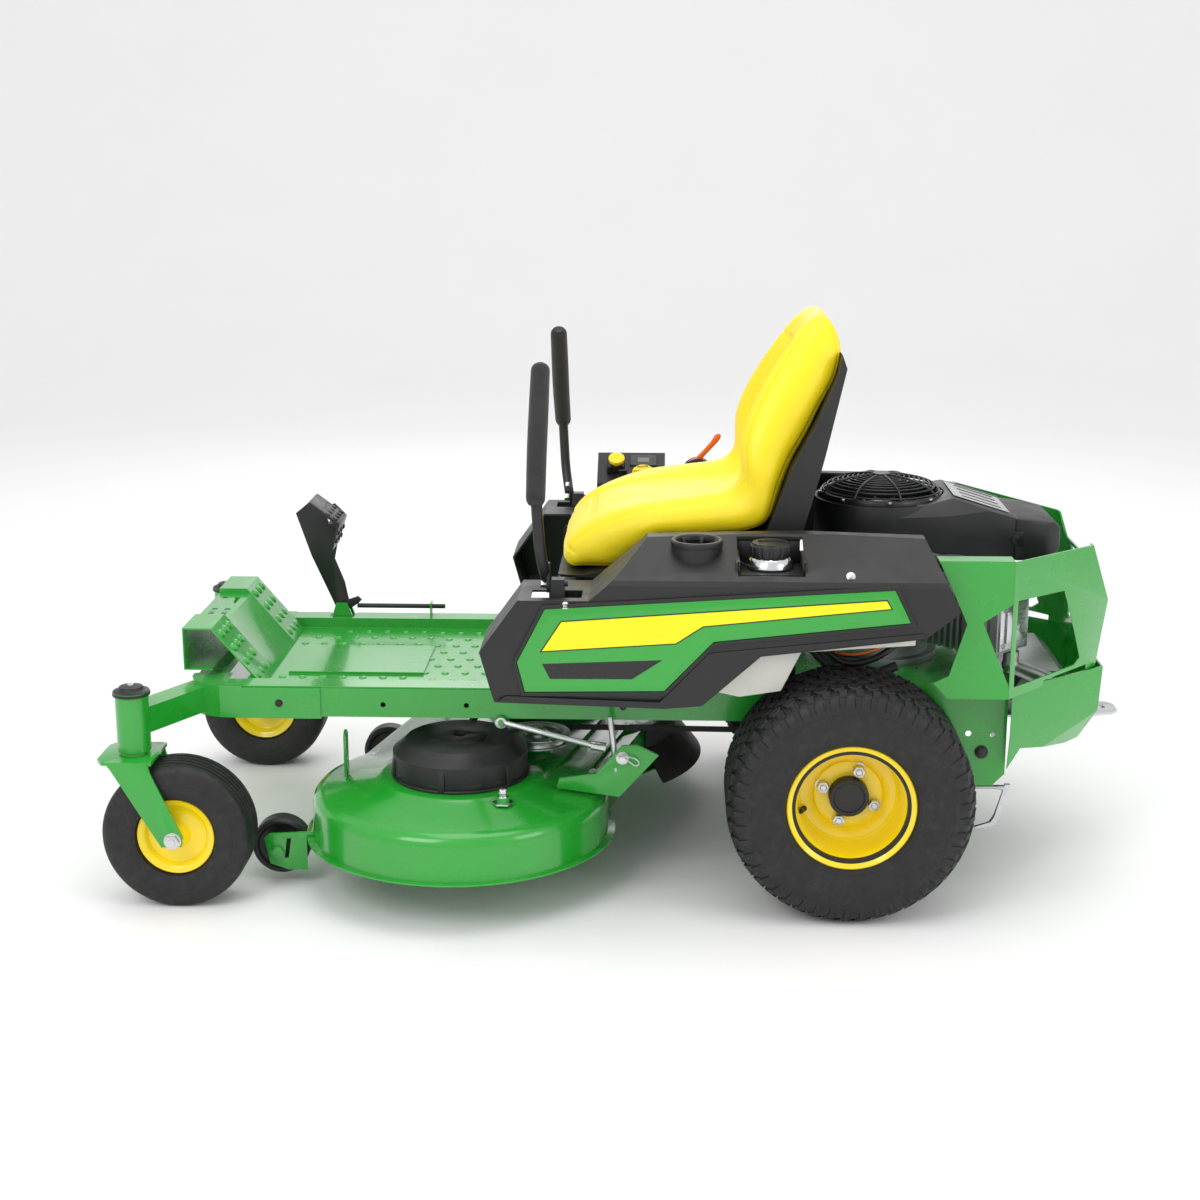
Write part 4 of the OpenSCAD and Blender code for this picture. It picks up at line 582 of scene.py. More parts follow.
# ---------- steering levers ----------
def lever(side, mirror):
    bend, low = (0.566, 0.430, 0.686), (0.572, 0.445, 0.792)
    lean = Vector((0, -math.sin(math.radians(36)), math.cos(math.radians(36))))
    low = Vector(low)
    high = low + 0.262 * lean
    route = rounded_corners([(0.5568, 0.404, 0.634), bend, low, low + 0.10 * lean], 0.035)
    p = Piece("lever_tube_" + side)
    p.tube([tuple(q) for q in route], 0.0102, 20, steps=1)
    p.prism([(0.388, 0.611), (0.388, 0.648), (0.398, 0.664), (0.412, 0.664), (0.418, 0.648), (0.418, 0.611)],
            0.5502, 0.5560, "yz")
    p.done(POWDER, "lever_" + side, bevel=0.0008, mirror=mirror)
    Piece("lever_bolt_" + side).hexa((0.556, 0.402, 0.624), (0.5665, 0.402, 0.624), 0.017).hexa(
        (0.556, 0.405, 0.650), (0.5645, 0.405, 0.650), 0.015).done(
        ZINC, "lever_" + side, bevel=0.0006, mirror=mirror)

    def swell(t):
        edge = min(t, 1 - t)
        return (0.80 + 0.20 * min(1, edge / 0.03) ** 0.5) * (0.97 + 0.05 * math.sin(math.pi * t))
    grip = Piece("lever_grip_" + side)
    centre = [low - 0.012 * lean + Vector((0, 0.002, 0)), low + 0.09 * lean + Vector((0.001, 0, 0)),
              low + 0.18 * lean + Vector((0.0005, 0, 0)), high]
    grip.tube(centre, 0.0178, 36, steps=18, ring=swell)
    obj = grip.done(FOAM, "lever_" + side, angle=60, mirror=mirror, slot="lever_" + side)
    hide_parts("lever_" + side)
    Piece("grip_plug_" + side).rod(high - 0.004 * lean, high + 0.0035 * lean, 0.0108, 28, 0.0098).done(
        POWDER, "lever_" + side, bevel=0.001, mirror=mirror)


for side, sgn, mirror in SIDES:
    lever(side, mirror)

# ---------- fan guard ----------
CRANK = (-0.085, 0, 0)
GUARD_BASE = 0.7123
p = Piece("guard_wires", (CRANK[0], 0, GUARD_BASE))
for i in range(11):
    r = 0.016 + i * 0.0099
    h = 0.004 + 0.0375 * math.sqrt(max(0, 1 - (r / 0.119) ** 2))
    p.lathe([(r + 0.0019 * math.cos(t), h + 0.0019 * math.sin(t)) for t in
             (2 * math.pi * q / 8 for q in range(8))], 72, closed=True)
for k in range(8):
    a = 2 * math.pi * (k + 0.3) / 8
    arc = [((0.012 + 0.0106 * q) * math.cos(a), (0.012 + 0.0106 * q) * math.sin(a),
            0.0052 + 0.0375 * math.sqrt(max(0, 1 - ((0.012 + 0.0106 * q) / 0.119) ** 2))) for q in range(11)]
    p.tube(arc, 0.0026, 10, steps=2)
p.lathe([(0, 0.040), (0.012, 0.040), (0.0185, 0.0425), (0.017, 0.0455), (0, 0.0462)], 40)
p.lathe([(0.112, 0.0), (0.1225, 0.0), (0.1225, 0.006), (0.1200, 0.010), (0.1130, 0.010), (0.112, 0.006)], 96,
        closed=True)
for k in range(8):
    a = 2 * math.pi * (k + 0.05) / 8
    p.place((CRANK[0], 0, GUARD_BASE), Matrix.Rotation(a, 4, "Z"))
    p.box((0.117, -0.006, 0.0), (0.1255, 0.006, 0.006))
guard = p.done(POWDER, "chassis", slot="fan_guard", angle=50)
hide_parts("fan_guard")
p = Piece("guard_screws")
for k in range(8):
    a = 2 * math.pi * (k + 0.05) / 8
    c = Vector((CRANK[0] + 0.1205 * math.cos(a), 0.1205 * math.sin(a), GUARD_BASE + 0.005))
    p.hexa(c, c + Vector((0, 0, 0.0045)), 0.008)
p.done(ZINC, "chassis", bevel=0.0005)

# ---------- seat ----------
def step(x, lo, hi):
    t = min(1, max(0, (x - lo) / (hi - lo)))
    return t * t * (3 - 2 * t)


# Stations along the pad: (centre, bolster crest, half width, underside), each point (X, Z)
STATIONS = (
    ((0.515, 0.597), (0.514, 0.598), 0.165, (0.512, 0.600)),
    ((0.546, 0.604), (0.536, 0.604), 0.188, (0.505, 0.603)),
    ((0.556, 0.624), (0.547, 0.624), 0.202, (0.490, 0.606)),
    ((0.549, 0.650), (0.541, 0.654), 0.213, (0.465, 0.608)),
    ((0.522, 0.672), (0.515, 0.683), 0.223, (0.435, 0.613)),
    ((0.462, 0.691), (0.455, 0.711), 0.231, (0.398, 0.644)),
    ((0.390, 0.702), (0.385, 0.730), 0.234, (0.358, 0.670)),
    ((0.318, 0.708), (0.315, 0.741), 0.234, (0.310, 0.674)),
    ((0.248, 0.712), (0.255, 0.750), 0.234, (0.250, 0.678)),
    ((0.192, 0.724), (0.220, 0.762), 0.234, (0.190, 0.683)),
    ((0.158, 0.755), (0.205, 0.790), 0.232, (0.150, 0.700)),
    ((0.146, 0.800), (0.208, 0.828), 0.225, (0.128, 0.760)),
    ((0.137, 0.850), (0.206, 0.864), 0.211, (0.108, 0.810)),
    ((0.125, 0.905), (0.192, 0.908), 0.194, (0.082, 0.858)),
    ((0.110, 0.960), (0.166, 0.960), 0.174, (0.053, 0.917)),
    ((0.094, 1.010), (0.134, 1.012), 0.154, (0.028, 0.966)),
    ((0.080, 1.050), (0.103, 1.056), 0.135, (0.017, 1.008)),
    ((0.067, 1.080), (0.077, 1.082), 0.118, (0.018, 1.030)),
    ((0.052, 1.089), (0.057, 1.088), 0.106, (0.024, 1.048)),
    ((0.036, 1.074), (0.037, 1.074), 0.090, (0.032, 1.062)))
# Across the pad: (share of the half width, share from centre to crest, share from crest to underside)
ACROSS = ((0, 0, 0), (0.15, 0.01, 0), (0.30, 0.06, 0), (0.43, 0.22, 0), (0.55, 0.55, 0), (0.66, 0.86, 0),
          (0.76, 1, 0.0), (0.85, 1, 0.06), (0.92, 1, 0.18), (0.97, 1, 0.36), (0.995, 1, 0.55),
          (0.985, 1, 0.75), (0.94, 1, 0.92), (0.85, 1, 1.0), (0.6, 1, 1.0), (0.3, 1, 1.0), (0.0, 1, 1.0))


def smooth_rows(rows, steps):
    """Rows of numbers, filled in smoothly between."""
    flat = [(c[0], c[1], b[0], b[1], w, u[0], u[1]) for c, b, w, u in rows]
    out = []
    for i in range(len(flat) - 1):
        a, b, c, d = flat[max(0, i - 1)], flat[i], flat[i + 1], flat[min(len(flat) - 1, i + 2)]
        for k in range(steps):
            t = k / steps
            out.append([0.5 * (2 * q + (r - p) * t + (2 * p - 5 * q + 4 * r - s) * t * t
                               + (3 * q - p - 3 * r + s) * t ** 3) for p, q, r, s in zip(a, b, c, d)])
    return out + [list(flat[-1])]


PAD_ROWS = smooth_rows(STATIONS, 4)


def pad_shell(name, shrink):
    """The pad as a lofted closed form."""
    p = Piece(name)
    ring = ACROSS + tuple((-y, a, b) for y, a, b in ACROSS[-2:0:-1])
    v = []
    for cx, cz, bx, bz, w, ux, uz in PAD_ROWS:
        cx, cz = cx + (ux - cx) * shrink, cz + (uz - cz) * shrink
        bx, bz = bx + (ux - bx) * shrink, bz + (uz - bz) * shrink
        for y, a, b in ring:
            x, z = cx + (bx - cx) * a, cz + (bz - cz) * a
            v.append((x + (ux - x) * b, y * (w - shrink * 0.06), z + (uz - z) * b))
    n = len(ring)
    f = [(i * n + j, i * n + (j + 1) % n, (i + 1) * n + (j + 1) % n, (i + 1) * n + j)
         for i in range(len(PAD_ROWS) - 1) for j in range(n)]
    f += [tuple(range(n))[::-1], tuple((len(PAD_ROWS) - 1) * n + j for j in range(n))]
    p.add(v, f)
    bmesh.ops.recalc_face_normals(p.bm, faces=p.bm.faces)
    mesh = bpy.data.meshes.new(name)
    p.bm.to_mesh(mesh)
    p.bm.free()
    obj = bpy.data.objects.new(name, mesh)
    scene.collection.objects.link(obj)
    return obj


def remesh(obj, size):
    mod = obj.modifiers.new("voxels", "REMESH")
    mod.mode = "VOXEL"
    mod.voxel_size = size
    bake(obj)


def relax(obj, times, factor=0.5):
    mod = obj.modifiers.new("relax", "SMOOTH")
    mod.iterations = times
    mod.factor = factor
    bake(obj)


def inflate(obj, pressure, cap):
    """Blows the form up as cloth, then limits how far each point has moved."""
    start = [v.co.copy() for v in obj.data.vertices]
    mod = obj.modifiers.new("cloth", "CLOTH")
    s = mod.settings
    s.quality = 5
    s.mass = 0.3
    s.tension_stiffness = s.compression_stiffness = 18
    s.shear_stiffness = 8
    s.bending_stiffness = 0.6
    s.use_pressure = True
    s.uniform_pressure_force = pressure
    s.effector_weights.gravity = 0
    mod.collision_settings.use_collision = False
    mod.point_cache.frame_start = 1
    mod.point_cache.frame_end = 20
    for f in range(1, 21):
        scene.frame_set(f)
    bake(obj)
    moves = np.array([v.co - old for v, old in zip(obj.data.vertices, start)])
    moves *= np.minimum(1, cap / np.maximum(1e-9, np.linalg.norm(moves, axis=1)))[:, None]
    a, b = np.array([e.vertices[:] for e in obj.data.edges]).T
    count = np.bincount(np.concatenate((a, b)), minlength=len(moves))[:, None]
    for _ in range(60):
        total = np.zeros_like(moves)
        np.add.at(total, a, moves[b])
        np.add.at(total, b, moves[a])
        moves = 0.4 * moves + 0.6 * total / count
    for v, old, move in zip(obj.data.vertices, start, moves):
        v.co = old + Vector(move)
    scene.frame_set(1)


def pad_place(co):
    """Share along the pad, and half width there."""
    best = min(range(len(PAD_ROWS)), key=lambda i: (PAD_ROWS[i][2] * 0.5 + PAD_ROWS[i][0] * 0.5 - co.x) ** 2
               + (PAD_ROWS[i][3] * 0.5 + PAD_ROWS[i][1] * 0.5 - co.z) ** 2)
    return best / (len(PAD_ROWS) - 1), PAD_ROWS[best][4]


def groove(distance, width):
    return math.exp(-(distance / width) ** 2)


def make_pad():
    pad = pad_shell("seat_cushion", 0.10)
    remesh(pad, 0.0055)
    relax(pad, 8)
    inflate(pad, 2.5, 0.0075)
    mod = pad.modifiers.new("finer", "SUBSURF")
    mod.levels = 1
    bake(pad)
    mesh = pad.data
    normals = [n.vector.copy() for n in mesh.vertex_normals]
    for v, nrm in zip(mesh.vertices, normals):
        u, w = pad_place(v.co)
        y = abs(v.co.y)
        top = step(nrm.dot(Vector((0.45, 0, 0.9))), -0.1, 0.35)
        inner = 0.60 * w - 0.020 * math.sin(math.pi * min(1, u * 1.15)) + 0.012 * step(u, 0.5, 0.75)
        depth = 0.0036 * groove(y - inner, 0.0042) * top * step(u, 0.13, 0.2) * (1 - step(u, 0.84, 0.90))
        depth += 0.0030 * groove(u - 0.150, 0.010) * top * (1 - step(y, 0.94 * w, w))
        depth += 0.0026 * groove(u - 0.235, 0.008) * top * (1 - step(y, inner - 0.01, inner))
        depth += 0.0042 * groove(u - 0.505, 0.010) * top * (1 - step(y, inner - 0.012, inner + 0.01))
        depth += 0.0026 * groove(u - 0.800, 0.008) * top * (1 - step(y, inner, inner + 0.02))
        side = 1 - step(abs(nrm.y), 0.25, 0.9)
        depth += 0.0024 * groove(side - 0.45, 0.12) * step(y, 0.7 * w, 0.8 * w)
        crease = noise.noise(Vector((v.co.x * 16, v.co.y * 9, v.co.z * 16)) + Vector((3.1, 7.2, 1.7)))
        near = groove(u - 0.5, 0.09) + 0.35
        depth += 0.0013 * near * crease
        v.co -= nrm * depth
    mesh.materials.clear()
    mesh.materials.append(VINYL)
    shade(pad, 80)
    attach(pad, "seat")
    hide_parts("seat_pad")
    return pad


make_pad()

# ---------- engine cover ----------
p = Piece("cover_plate")
p.prism([(-0.3300, 0.6925), (-0.2190, 0.7270), (-0.2190, 0.7284), (-0.3300, 0.6939)], -0.072, 0.072)
p.done(PALE_PLASTIC, "chassis", bevel=0.0005)
p = Piece("cover_ribs")
for k in range(4):
    y = -0.054 + 0.036 * k
    p.prism([(-0.3150, 0.6978), (-0.2380, 0.7217), (-0.2380, 0.7239), (-0.3150, 0.7000)], y - 0.0016,
            y + 0.0016)
p.done(GREY_PLASTIC, "chassis", bevel=0.0005)
p = Piece("cover_clips")
for side, sgn, mirror in SIDES:
    p.box((-0.352, sgn * 0.1075 - 0.0035, 0.634), (-0.318, sgn * 0.1075 + 0.0035, 0.664))
    p.rod((-0.336, sgn * 0.104, 0.649), (-0.336, sgn * 0.1155, 0.649), 0.0085, 24)
p.done(POWDER, "chassis", bevel=0.0012)

# ---------- engine details ----------
for side, sgn, mirror in SIDES:
    bank = Matrix.Translation((CRANK[0], 0, 0)) @ Matrix.Rotation(math.radians(135), 4, "Z")
    p = Piece("valve_cover_" + side)
    p.m = bank
    rim = rounded_corners([(-0.050, 0.458, 0), (0.050, 0.458, 0), (0.050, 0.560, 0), (-0.050, 0.560, 0),
                           (-0.050, 0.459, 0)], 0.014, 5)
    base = [(q.x, q.y) for q in rim[1:]]
    for scale, x0, x1 in ((1.0, 0.3052, 0.3150), (0.90, 0.3150, 0.3335), (0.62, 0.3335, 0.3385)):
        mid = 0.509
        p.prism([(a * scale, mid + (b - mid) * scale) for a, b in base], x0, x1, "yz")
    p.done(ZINC, "chassis", bevel=0.0022, mirror=mirror)
    p = Piece("valve_bolts_" + side)
    p.m = bank
    for y, z in ((-0.040, 0.468), (0.040, 0.468), (-0.040, 0.550), (0.040, 0.550)):
        p.hexa((0.3140, y, z), (0.3215, y, z), 0.010)
    p.hexa((0.3380, 0, 0.509), (0.3440, 0, 0.509), 0.013)
    p.done(STEEL, "chassis", bevel=0.0005, mirror=mirror)
    hose = Piece("breather_hose_" + side)
    route = [(-0.300, 0.255, 0.585), (-0.322, 0.262, 0.600), (-0.352, 0.250, 0.602), (-0.372, 0.215, 0.590),
             (-0.372, 0.160, 0.580), (-0.350, 0.120, 0.590)]
    hose.tube(route, 0.0135, 20, steps=26, ring=lambda t: 1 + 0.10 * math.sin(t * 2 * math.pi * 44))
    hose.done(RUBBER, "chassis", angle=70, mirror=mirror)


# ---------- fender trim ----------
INSERT = [(0.557, 0.591), (-0.066, 0.631), (-0.096, 0.571), (0.254, 0.533), (0.342, 0.440), (0.594, 0.436),
          (0.608, 0.492)]
STRIPE_LINE = [(0.527, 0.568), (-0.051, 0.612), (-0.059, 0.598), (0.274, 0.563), (0.322, 0.531),
               (0.562, 0.514)]
PLATE_LINE = [(0.562, 0.490), (0.346, 0.499), (0.400, 0.463), (0.548, 0.462)]


def grown(outline, by):
    """An outline moved outwards."""
    n = len(outline)
    area = sum(a[0] * b[1] - b[0] * a[1] for a, b in zip(outline, outline[1:] + outline[:1]))
    turn = 1 if area > 0 else -1
    out = []
    for i in range(n):
        a, b, c = (Vector(outline[(i + k) % n]) for k in (-1, 0, 1))
        u, w = (b - a).normalized(), (c - b).normalized()
        nu, nw = Vector((u.y, -u.x)) * turn, Vector((w.y, -w.x)) * turn
        m = (nu + nw).normalized()
        out.append(tuple(b + m * (by / max(0.35, m.dot(nu)))))
    return out


def band(p, outline, inner, outer, y0, y1):
    """A frame between an outline moved by inner and by outer, from y0 to y1."""
    a, b = grown(outline, inner), grown(outline, outer)
    n = len(a)
    v = [(q[0], y, q[1]) for y in (y0, y1) for loop in (a, b) for q in loop]
    f = []
    for i in range(n):
        j = (i + 1) % n
        f += [(2 * n + i, 2 * n + j, 3 * n + j, 3 * n + i), (i, n + i, n + j, j),
              (i, j, 2 * n + j, 2 * n + i), (n + i, 3 * n + i, 3 * n + j, n + j)]
    p.add(v, f)


def fender_trim(side, mirror):
    p = Piece("insert_border_" + side)
    band(p, INSERT, 0.0006, 0.0075, 0.4565, 0.4622)
    p.done(PLASTIC, "chassis", bevel=0.0012, angle=20, mirror=mirror)
    p = Piece("insert_fold_" + side)
    a, b = grown(INSERT, -0.0010), grown(INSERT, -0.0120)
    n = len(a)
    p.add([(q[0], 0.4603, q[1]) for q in a] + [(q[0], 0.4622, q[1]) for q in b],
          [(i, (i + 1) % n, n + (i + 1) % n, n + i) for i in range(n)] + [tuple(range(n, 2 * n))])
    p.done(GREEN, "chassis", angle=8, mirror=mirror, slot="side_panels")
    p = Piece("stripe_edge_" + side)
    p.prism(grown(STRIPE_LINE, 0.0022), 0.4618, 0.4626)
    p.prism(PLATE_LINE, 0.4618, 0.4626)
    p.done(BLACK_FILM, "chassis", mirror=mirror)
    p = Piece("stripe_" + side)
    p.prism(STRIPE_LINE, 0.4620, 0.4630)
    p.done(STRIPE, "chassis", mirror=mirror)
    # moulded ledge under the insert, and the raised rear shoulder
    p = Piece("fender_ledge_" + side)
    p.prism([(0.628, 0.428), (0.350, 0.419), (0.262, 0.512), (-0.116, 0.552), (-0.128, 0.544), (0.168, 0.508),
             (0.274, 0.4125), (0.342, 0.4065), (0.646, 0.4155)], 0.4570, 0.4605)
    p.done(PLASTIC, "chassis", bevel=0.0014, angle=20, mirror=mirror)
    p = Piece("fender_screws_" + side)
    slope = Vector((0, 0.80, 0.60)).normalized()
    for x, z in ((0.012, 0.650), (0.520, 0.5975)):
        y = 0.4405 if x < 0.4 else 0.4555
        c = Vector((x, y, z))
        p.rod(c, c + slope * 0.0035, 0.0090, 28, 0.0082)
        p.rod(c + slope * 0.003, c + slope * 0.0062, 0.0056, 6)
    p.done(ZINC, "chassis", bevel=0.0005, mirror=mirror)


for side, sgn, mirror in SIDES:
    fender_trim(side, mirror)

# ---------- cup holder and fuel cap ----------
def arc(r, degrees, count, start=0.0):
    """Evenly spaced points on an arc about the origin."""
    return [(r * math.cos(a), r * math.sin(a)) for a in
            (math.radians(start + degrees * k / (count - 1)) for k in range(count))]


CUP, NECK = Vector((0.285, 0.367, 0)), Vector((0.152, 0.368, 0))


def cup_rim():
    p = Piece("cup_rim", CUP)
    p.lathe([(0.0362, 0.690), (0.0380, 0.6990), (0.0410, 0.7015), (0.0462, 0.7012), (0.0480, 0.6980),
             (0.0472, 0.690), (0.0380, 0.688)], 72, closed=True)
    grip = [(0.0385, 0.645), (0.0385, 0.698), (0.0335, 0.697), (0.0295, 0.684), (0.0345, 0.660)]
    for k in range(6):
        p.place(CUP, Matrix.Rotation(math.radians(60 * k + 14), 4, "Z")).prism(grip, -0.0035, 0.0035)
    p.place(CUP).lathe([(0.002, 0.6386), (0.0370, 0.6386), (0.0375, 0.6400), (0.020, 0.6398), (0.019, 0.6410),
                        (0.002, 0.6410)], 48)
    p.done(PLASTIC, "chassis", bevel=0.0006, angle=30)


def cap_crown():
    """The fuel cap's fluted skirt and its stepped top."""
    flutes = 24
    ring = [(r * math.cos(a), r * math.sin(a)) for r, a in
            ((0.0372 if k % 2 else 0.0352, 2 * math.pi * k / flutes) for k in range(flutes))]
    levels = ((1.0, 0.6728), (1.0, 0.6900), (0.90, 0.6958), (0.4, 0.6984))
    p = Piece("cap_crown", NECK)
    for (s0, z0), (s1, z1) in zip(levels, levels[1:]):
        p.add([(x * s0, y * s0, z0) for x, y in ring] + [(x * s1, y * s1, z1) for x, y in ring],
              [(i, (i + 1) % flutes, flutes + (i + 1) % flutes, flutes + i) for i in range(flutes)])
    p.add([(x * s1, y * s1, z1) for x, y in ring], [tuple(range(flutes))])
    p.box((-0.022, -0.0022, 0.697), (0.022, 0.0022, 0.7008))
    p.done(PLASTIC, "fuel_cap", bevel=0.0007, angle=30, slot="fuel_cap")


def filler_neck():
    p = Piece("neck_ring", NECK)
    p.lathe([(0.0318, 0.6515), (0.0425, 0.6515), (0.0435, 0.6540), (0.0420, 0.6600), (0.0368, 0.6690),
             (0.0340, 0.6712), (0.0318, 0.6712)], 72, closed=True)
    p.done(CHROME, "chassis")
    p = Piece("neck_bezel")
    x0, x1, y0, y1, wall, floor_z = 0.092, 0.212, 0.330, 0.426, 0.004, 0.6505
    p.box((x0, y0, floor_z), (x0 + wall, y1, 0.6730))
    p.box((x1 - wall, y0, floor_z), (x1, y1, 0.6730))
    p.box((x0 + wall, y0, floor_z), (x1 - wall, y0 + wall, 0.690))
    p.tube([(0.195, 0.352, 0.655), (0.205, 0.366, 0.660), (0.198, 0.385, 0.658), (0.176, 0.402, 0.656),
            (0.160, 0.405, 0.656)], 0.0016, 8, steps=8)
    p.done(PLASTIC, "chassis", bevel=0.0007, angle=30)


cup_rim()
cap_crown()
filler_neck()

# ---------- control pod ----------
FACE_N = Vector((0, 0.517419, 0.855732))      # out of the sloped face
FACE_U = Vector((0, -0.855732, 0.517419))     # up the sloped face
FACE_0 = Vector((0, -0.316, 0.672))           # its lower edge
KNOB, DIAL, METER, KEY = (0.450, 0.042), (0.392, 0.028), (0.392, 0.072), (0.436, 0.016)


def on_face(x, up, h=0.0):
    return FACE_0 + FACE_U * up + FACE_N * h + Vector((x, 0, 0))


def face_box(p, x, up, wide, high, h0, h1, taper=1.0):
    v = []
    for h, k in ((h0, 1.0), (h1, taper)):
        v += [on_face(x + sx * wide / 2 * k, up + su * high / 2 * k, h) for sx, su in
              ((-1, -1), (1, -1), (1, 1), (-1, 1))]
    p.add(v, [(3, 2, 1, 0), (4, 5, 6, 7), (0, 1, 5, 4), (1, 2, 6, 5), (2, 3, 7, 6), (3, 0, 4, 7)])


def control_pod():
    p = Piece("pto_boss")
    face_box(p, 0.452, 0.0470, 0.040, 0.033, 0.0, 0.019, 0.88)
    p.done(BLACK_FILM, "chassis", bevel=0.002)
    p = Piece("meter_bezel")
    face_box(p, *METER, 0.060, 0.034, 0.0, 0.0040, 0.94)
    face_box(p, *KEY, 0.026, 0.024, 0.0, 0.0020, 0.9)
    p.rod(on_face(*DIAL), on_face(*DIAL, 0.0009), 0.0275, 48)
    p.done(GREY_PLASTIC, "chassis", bevel=0.001)
    p = Piece("meter_window")
    face_box(p, *METER, 0.026, 0.015, 0.0036, 0.0046, 0.96)
    p.done(SCREEN, "chassis")
    p = Piece("pto_mushroom")
    for r0, r1, h0, h1 in ((0.0085, 0.0085, 0.019, 0.024), (0.0105, 0.0165, 0.024, 0.0305),
                           (0.0165, 0.0178, 0.0305, 0.0335), (0.0178, 0.0172, 0.0335, 0.0368),
                           (0.0172, 0.0120, 0.0368, 0.0382)):
        p.rod(on_face(*KNOB, h0), on_face(*KNOB, h1), r0, 40, r1)
    p.done(YELLOW_PLASTIC, "pto_knob", bevel=0.0005, slot="pto_knob")
    p = Piece("dial_grip")
    for a in (math.radians(18 * k) for k in range(20)):
        out = (Vector((1, 0, 0)) * math.cos(a) + FACE_U * math.sin(a)) * 0.0222
        p.rod(on_face(*DIAL, 0.0015) + out, on_face(*DIAL, 0.0088) + out, 0.0021, 8)
    p.done(YELLOW_PLASTIC, "height_dial", bevel=0.0003, slot="height_dial")


control_pod()

# ---------- throttle ----------
HUB = Vector((0.275, -0.320, 0.700))


def throttle():
    def plate(p, outline, y0, y1, drop=0.0):
        p.prism([(HUB.x + a, HUB.z + b - drop) for a, b in outline], HUB.y + y0, HUB.y + y1)
    p = Piece("throttle_arm")
    plate(p, [(-0.006, 0.020), (-0.0130, 0.030), (-0.0330, 0.0520), (-0.0440, 0.0640), (-0.0500, 0.0740),
              (-0.0490, 0.0800), (-0.0430, 0.0815), (-0.0370, 0.0775), (-0.0280, 0.0630), (-0.0080, 0.0400),
              (0.0060, 0.0260), (0.0080, 0.0200)], -0.0055, 0.0055)
    plate(p, arc(0.0278, 354, 60), -0.0058, 0.0058)
    lever_arm = p.done(ORANGE, "throttle_lever", bevel=0.0022, angle=40, slot="throttle_lever")
    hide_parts("throttle_lever")
    p = Piece("throttle_hub")
    for sgn in (-1, 1):
        plate(p, arc(0.0320, 180, 31), *sorted((sgn * 0.0068, sgn * 0.0140)), drop=0.004)
        c = HUB + Vector((0, sgn * 0.0138, 0.006))
        p.rod(c, c + Vector((0, sgn * 0.003, 0)), 0.0065, 24)
    p.done(PLASTIC, "chassis", bevel=0.0012)


throttle()

# ---------- deck fittings ----------
SPINDLES = {"left": (0.735, 0.262), "right": (0.605, 0.262)}     # Y is mirrored for the right one


def rods_at(p, x, y, rows):
    """Stacked upright round bars: (low, high, radius, sides, top radius)."""
    for z0, z1, r, seg, top in rows:
        p.rod((x, y, z0), (x, y, z1), r, seg, top)


def deck_fittings():
    p = Piece("wash_port")
    rods_at(p, 0.640, 0.415, ((0.2050, 0.2085, 0.0210, 6, None), (0.2085, 0.2200, 0.0115, 28, 0.0100),
                              (0.2200, 0.2345, 0.0082, 28, None), (0.2260, 0.2290, 0.0094, 28, None)))
    p.done(CHROME, "deck", bevel=0.0007)
    p = Piece("lift_links")
    for sgn in (1, -1):
        y = 0.3215 * sgn
        p.rod((0.4440, y * 0.985, 0.345), (0.4340, y, 0.262), 0.0058, 20)
        p.rod((0.4350, y, 0.268), (0.4325, y, 0.240), 0.0092, 20, 0.0085)
        p.hexa((0.4330, y, 0.2480), (0.4325, y, 0.2400), 0.021)
        p.rod((0.4325, y, 0.2400), (0.4320, y, 0.2300), 0.0062, 20)
    p.done(ZINC, "deck", bevel=0.0006)
    p = Piece("hitch_pins")
    for sgn in (1, -1):
        def at(x, dy, z):
            return x, sgn * (0.3325 + dy), z
        p.rod(at(0.4200, -0.004, 0.268), at(0.4200, 0.0125, 0.268), 0.0072, 24)
        p.rod(at(0.4200, -0.0003, 0.268), at(0.4200, 0.0015, 0.268), 0.0125, 28)
        p.tube([at(0.4330, 0.0080, 0.2760), at(0.4100, 0.0085, 0.2660), at(0.3960, 0.008, 0.2560),
                at(0.3880, 0.008, 0.2600), at(0.3930, 0.008, 0.2680), at(0.4060, 0.0085, 0.2730),
                at(0.4200, 0.0085, 0.2770)], 0.0014, 10, steps=6)
    p.done(ZINC, "deck", bevel=0.0004)


def cover_trim(side, mirror):
    """Dome and ribs moulded on a belt cover, and its slots as black sheets of painted shade."""
    cx, cy = SPINDLES[side]
    p = Piece("cover_dome_" + side, (cx + 0.028, cy + 0.034, 0.2600))
    dome = [(0.062 * math.cos(math.radians(9 * k)), 0.0005 + 0.0275 * math.sin(math.radians(9 * k)))
            for k in range(10)]
    p.lathe(dome + [(0.001, 0.028)], 48)
    p.done(PLASTIC, "deck", angle=50, mirror=mirror)
    p = Piece("cover_ribs_" + side)
    rib = [(0.118, 0.2150), (0.1345, 0.2150), (0.1335, 0.2450), (0.1290, 0.2600), (0.1080, 0.2790),
           (0.1010, 0.2845), (0.0960, 0.2845), (0.1080, 0.2700)]
    for k in range(6):
        p.place((cx, cy, 0), Matrix.Rotation(math.radians(60 * k + 20), 4, "Z")).prism(rib, -0.0065, 0.0065)
    p.place((cx, cy, 0)).lathe([(0.1285, 0.2140), (0.1340, 0.2140), (0.1345, 0.2175), (0.1312, 0.2195),
                                (0.1290, 0.2195)], 96, closed=True)
    p.done(PLASTIC, "deck", bevel=0.0015, angle=35, mirror=mirror)
    # the slots are thin black sheets on the cover's side: painted shade standing in for the openings
    p = Piece("slot_shade_sheets_" + side, (cx, cy, 0))
    for start in (68, 98, 128, 20):
        slot = arc(0.1302, 15.4, 8, start)
        p.add([(x, y, z) for z in (0.2235, 0.2305) for x, y in slot],
              [(i, i + 1, 8 + i + 1, 8 + i) for i in range(7)])
    p.done(BLACK_FILM, "deck", mirror=mirror)


deck_fittings()
for side, sgn, mirror in SIDES:
    cover_trim(side, mirror)

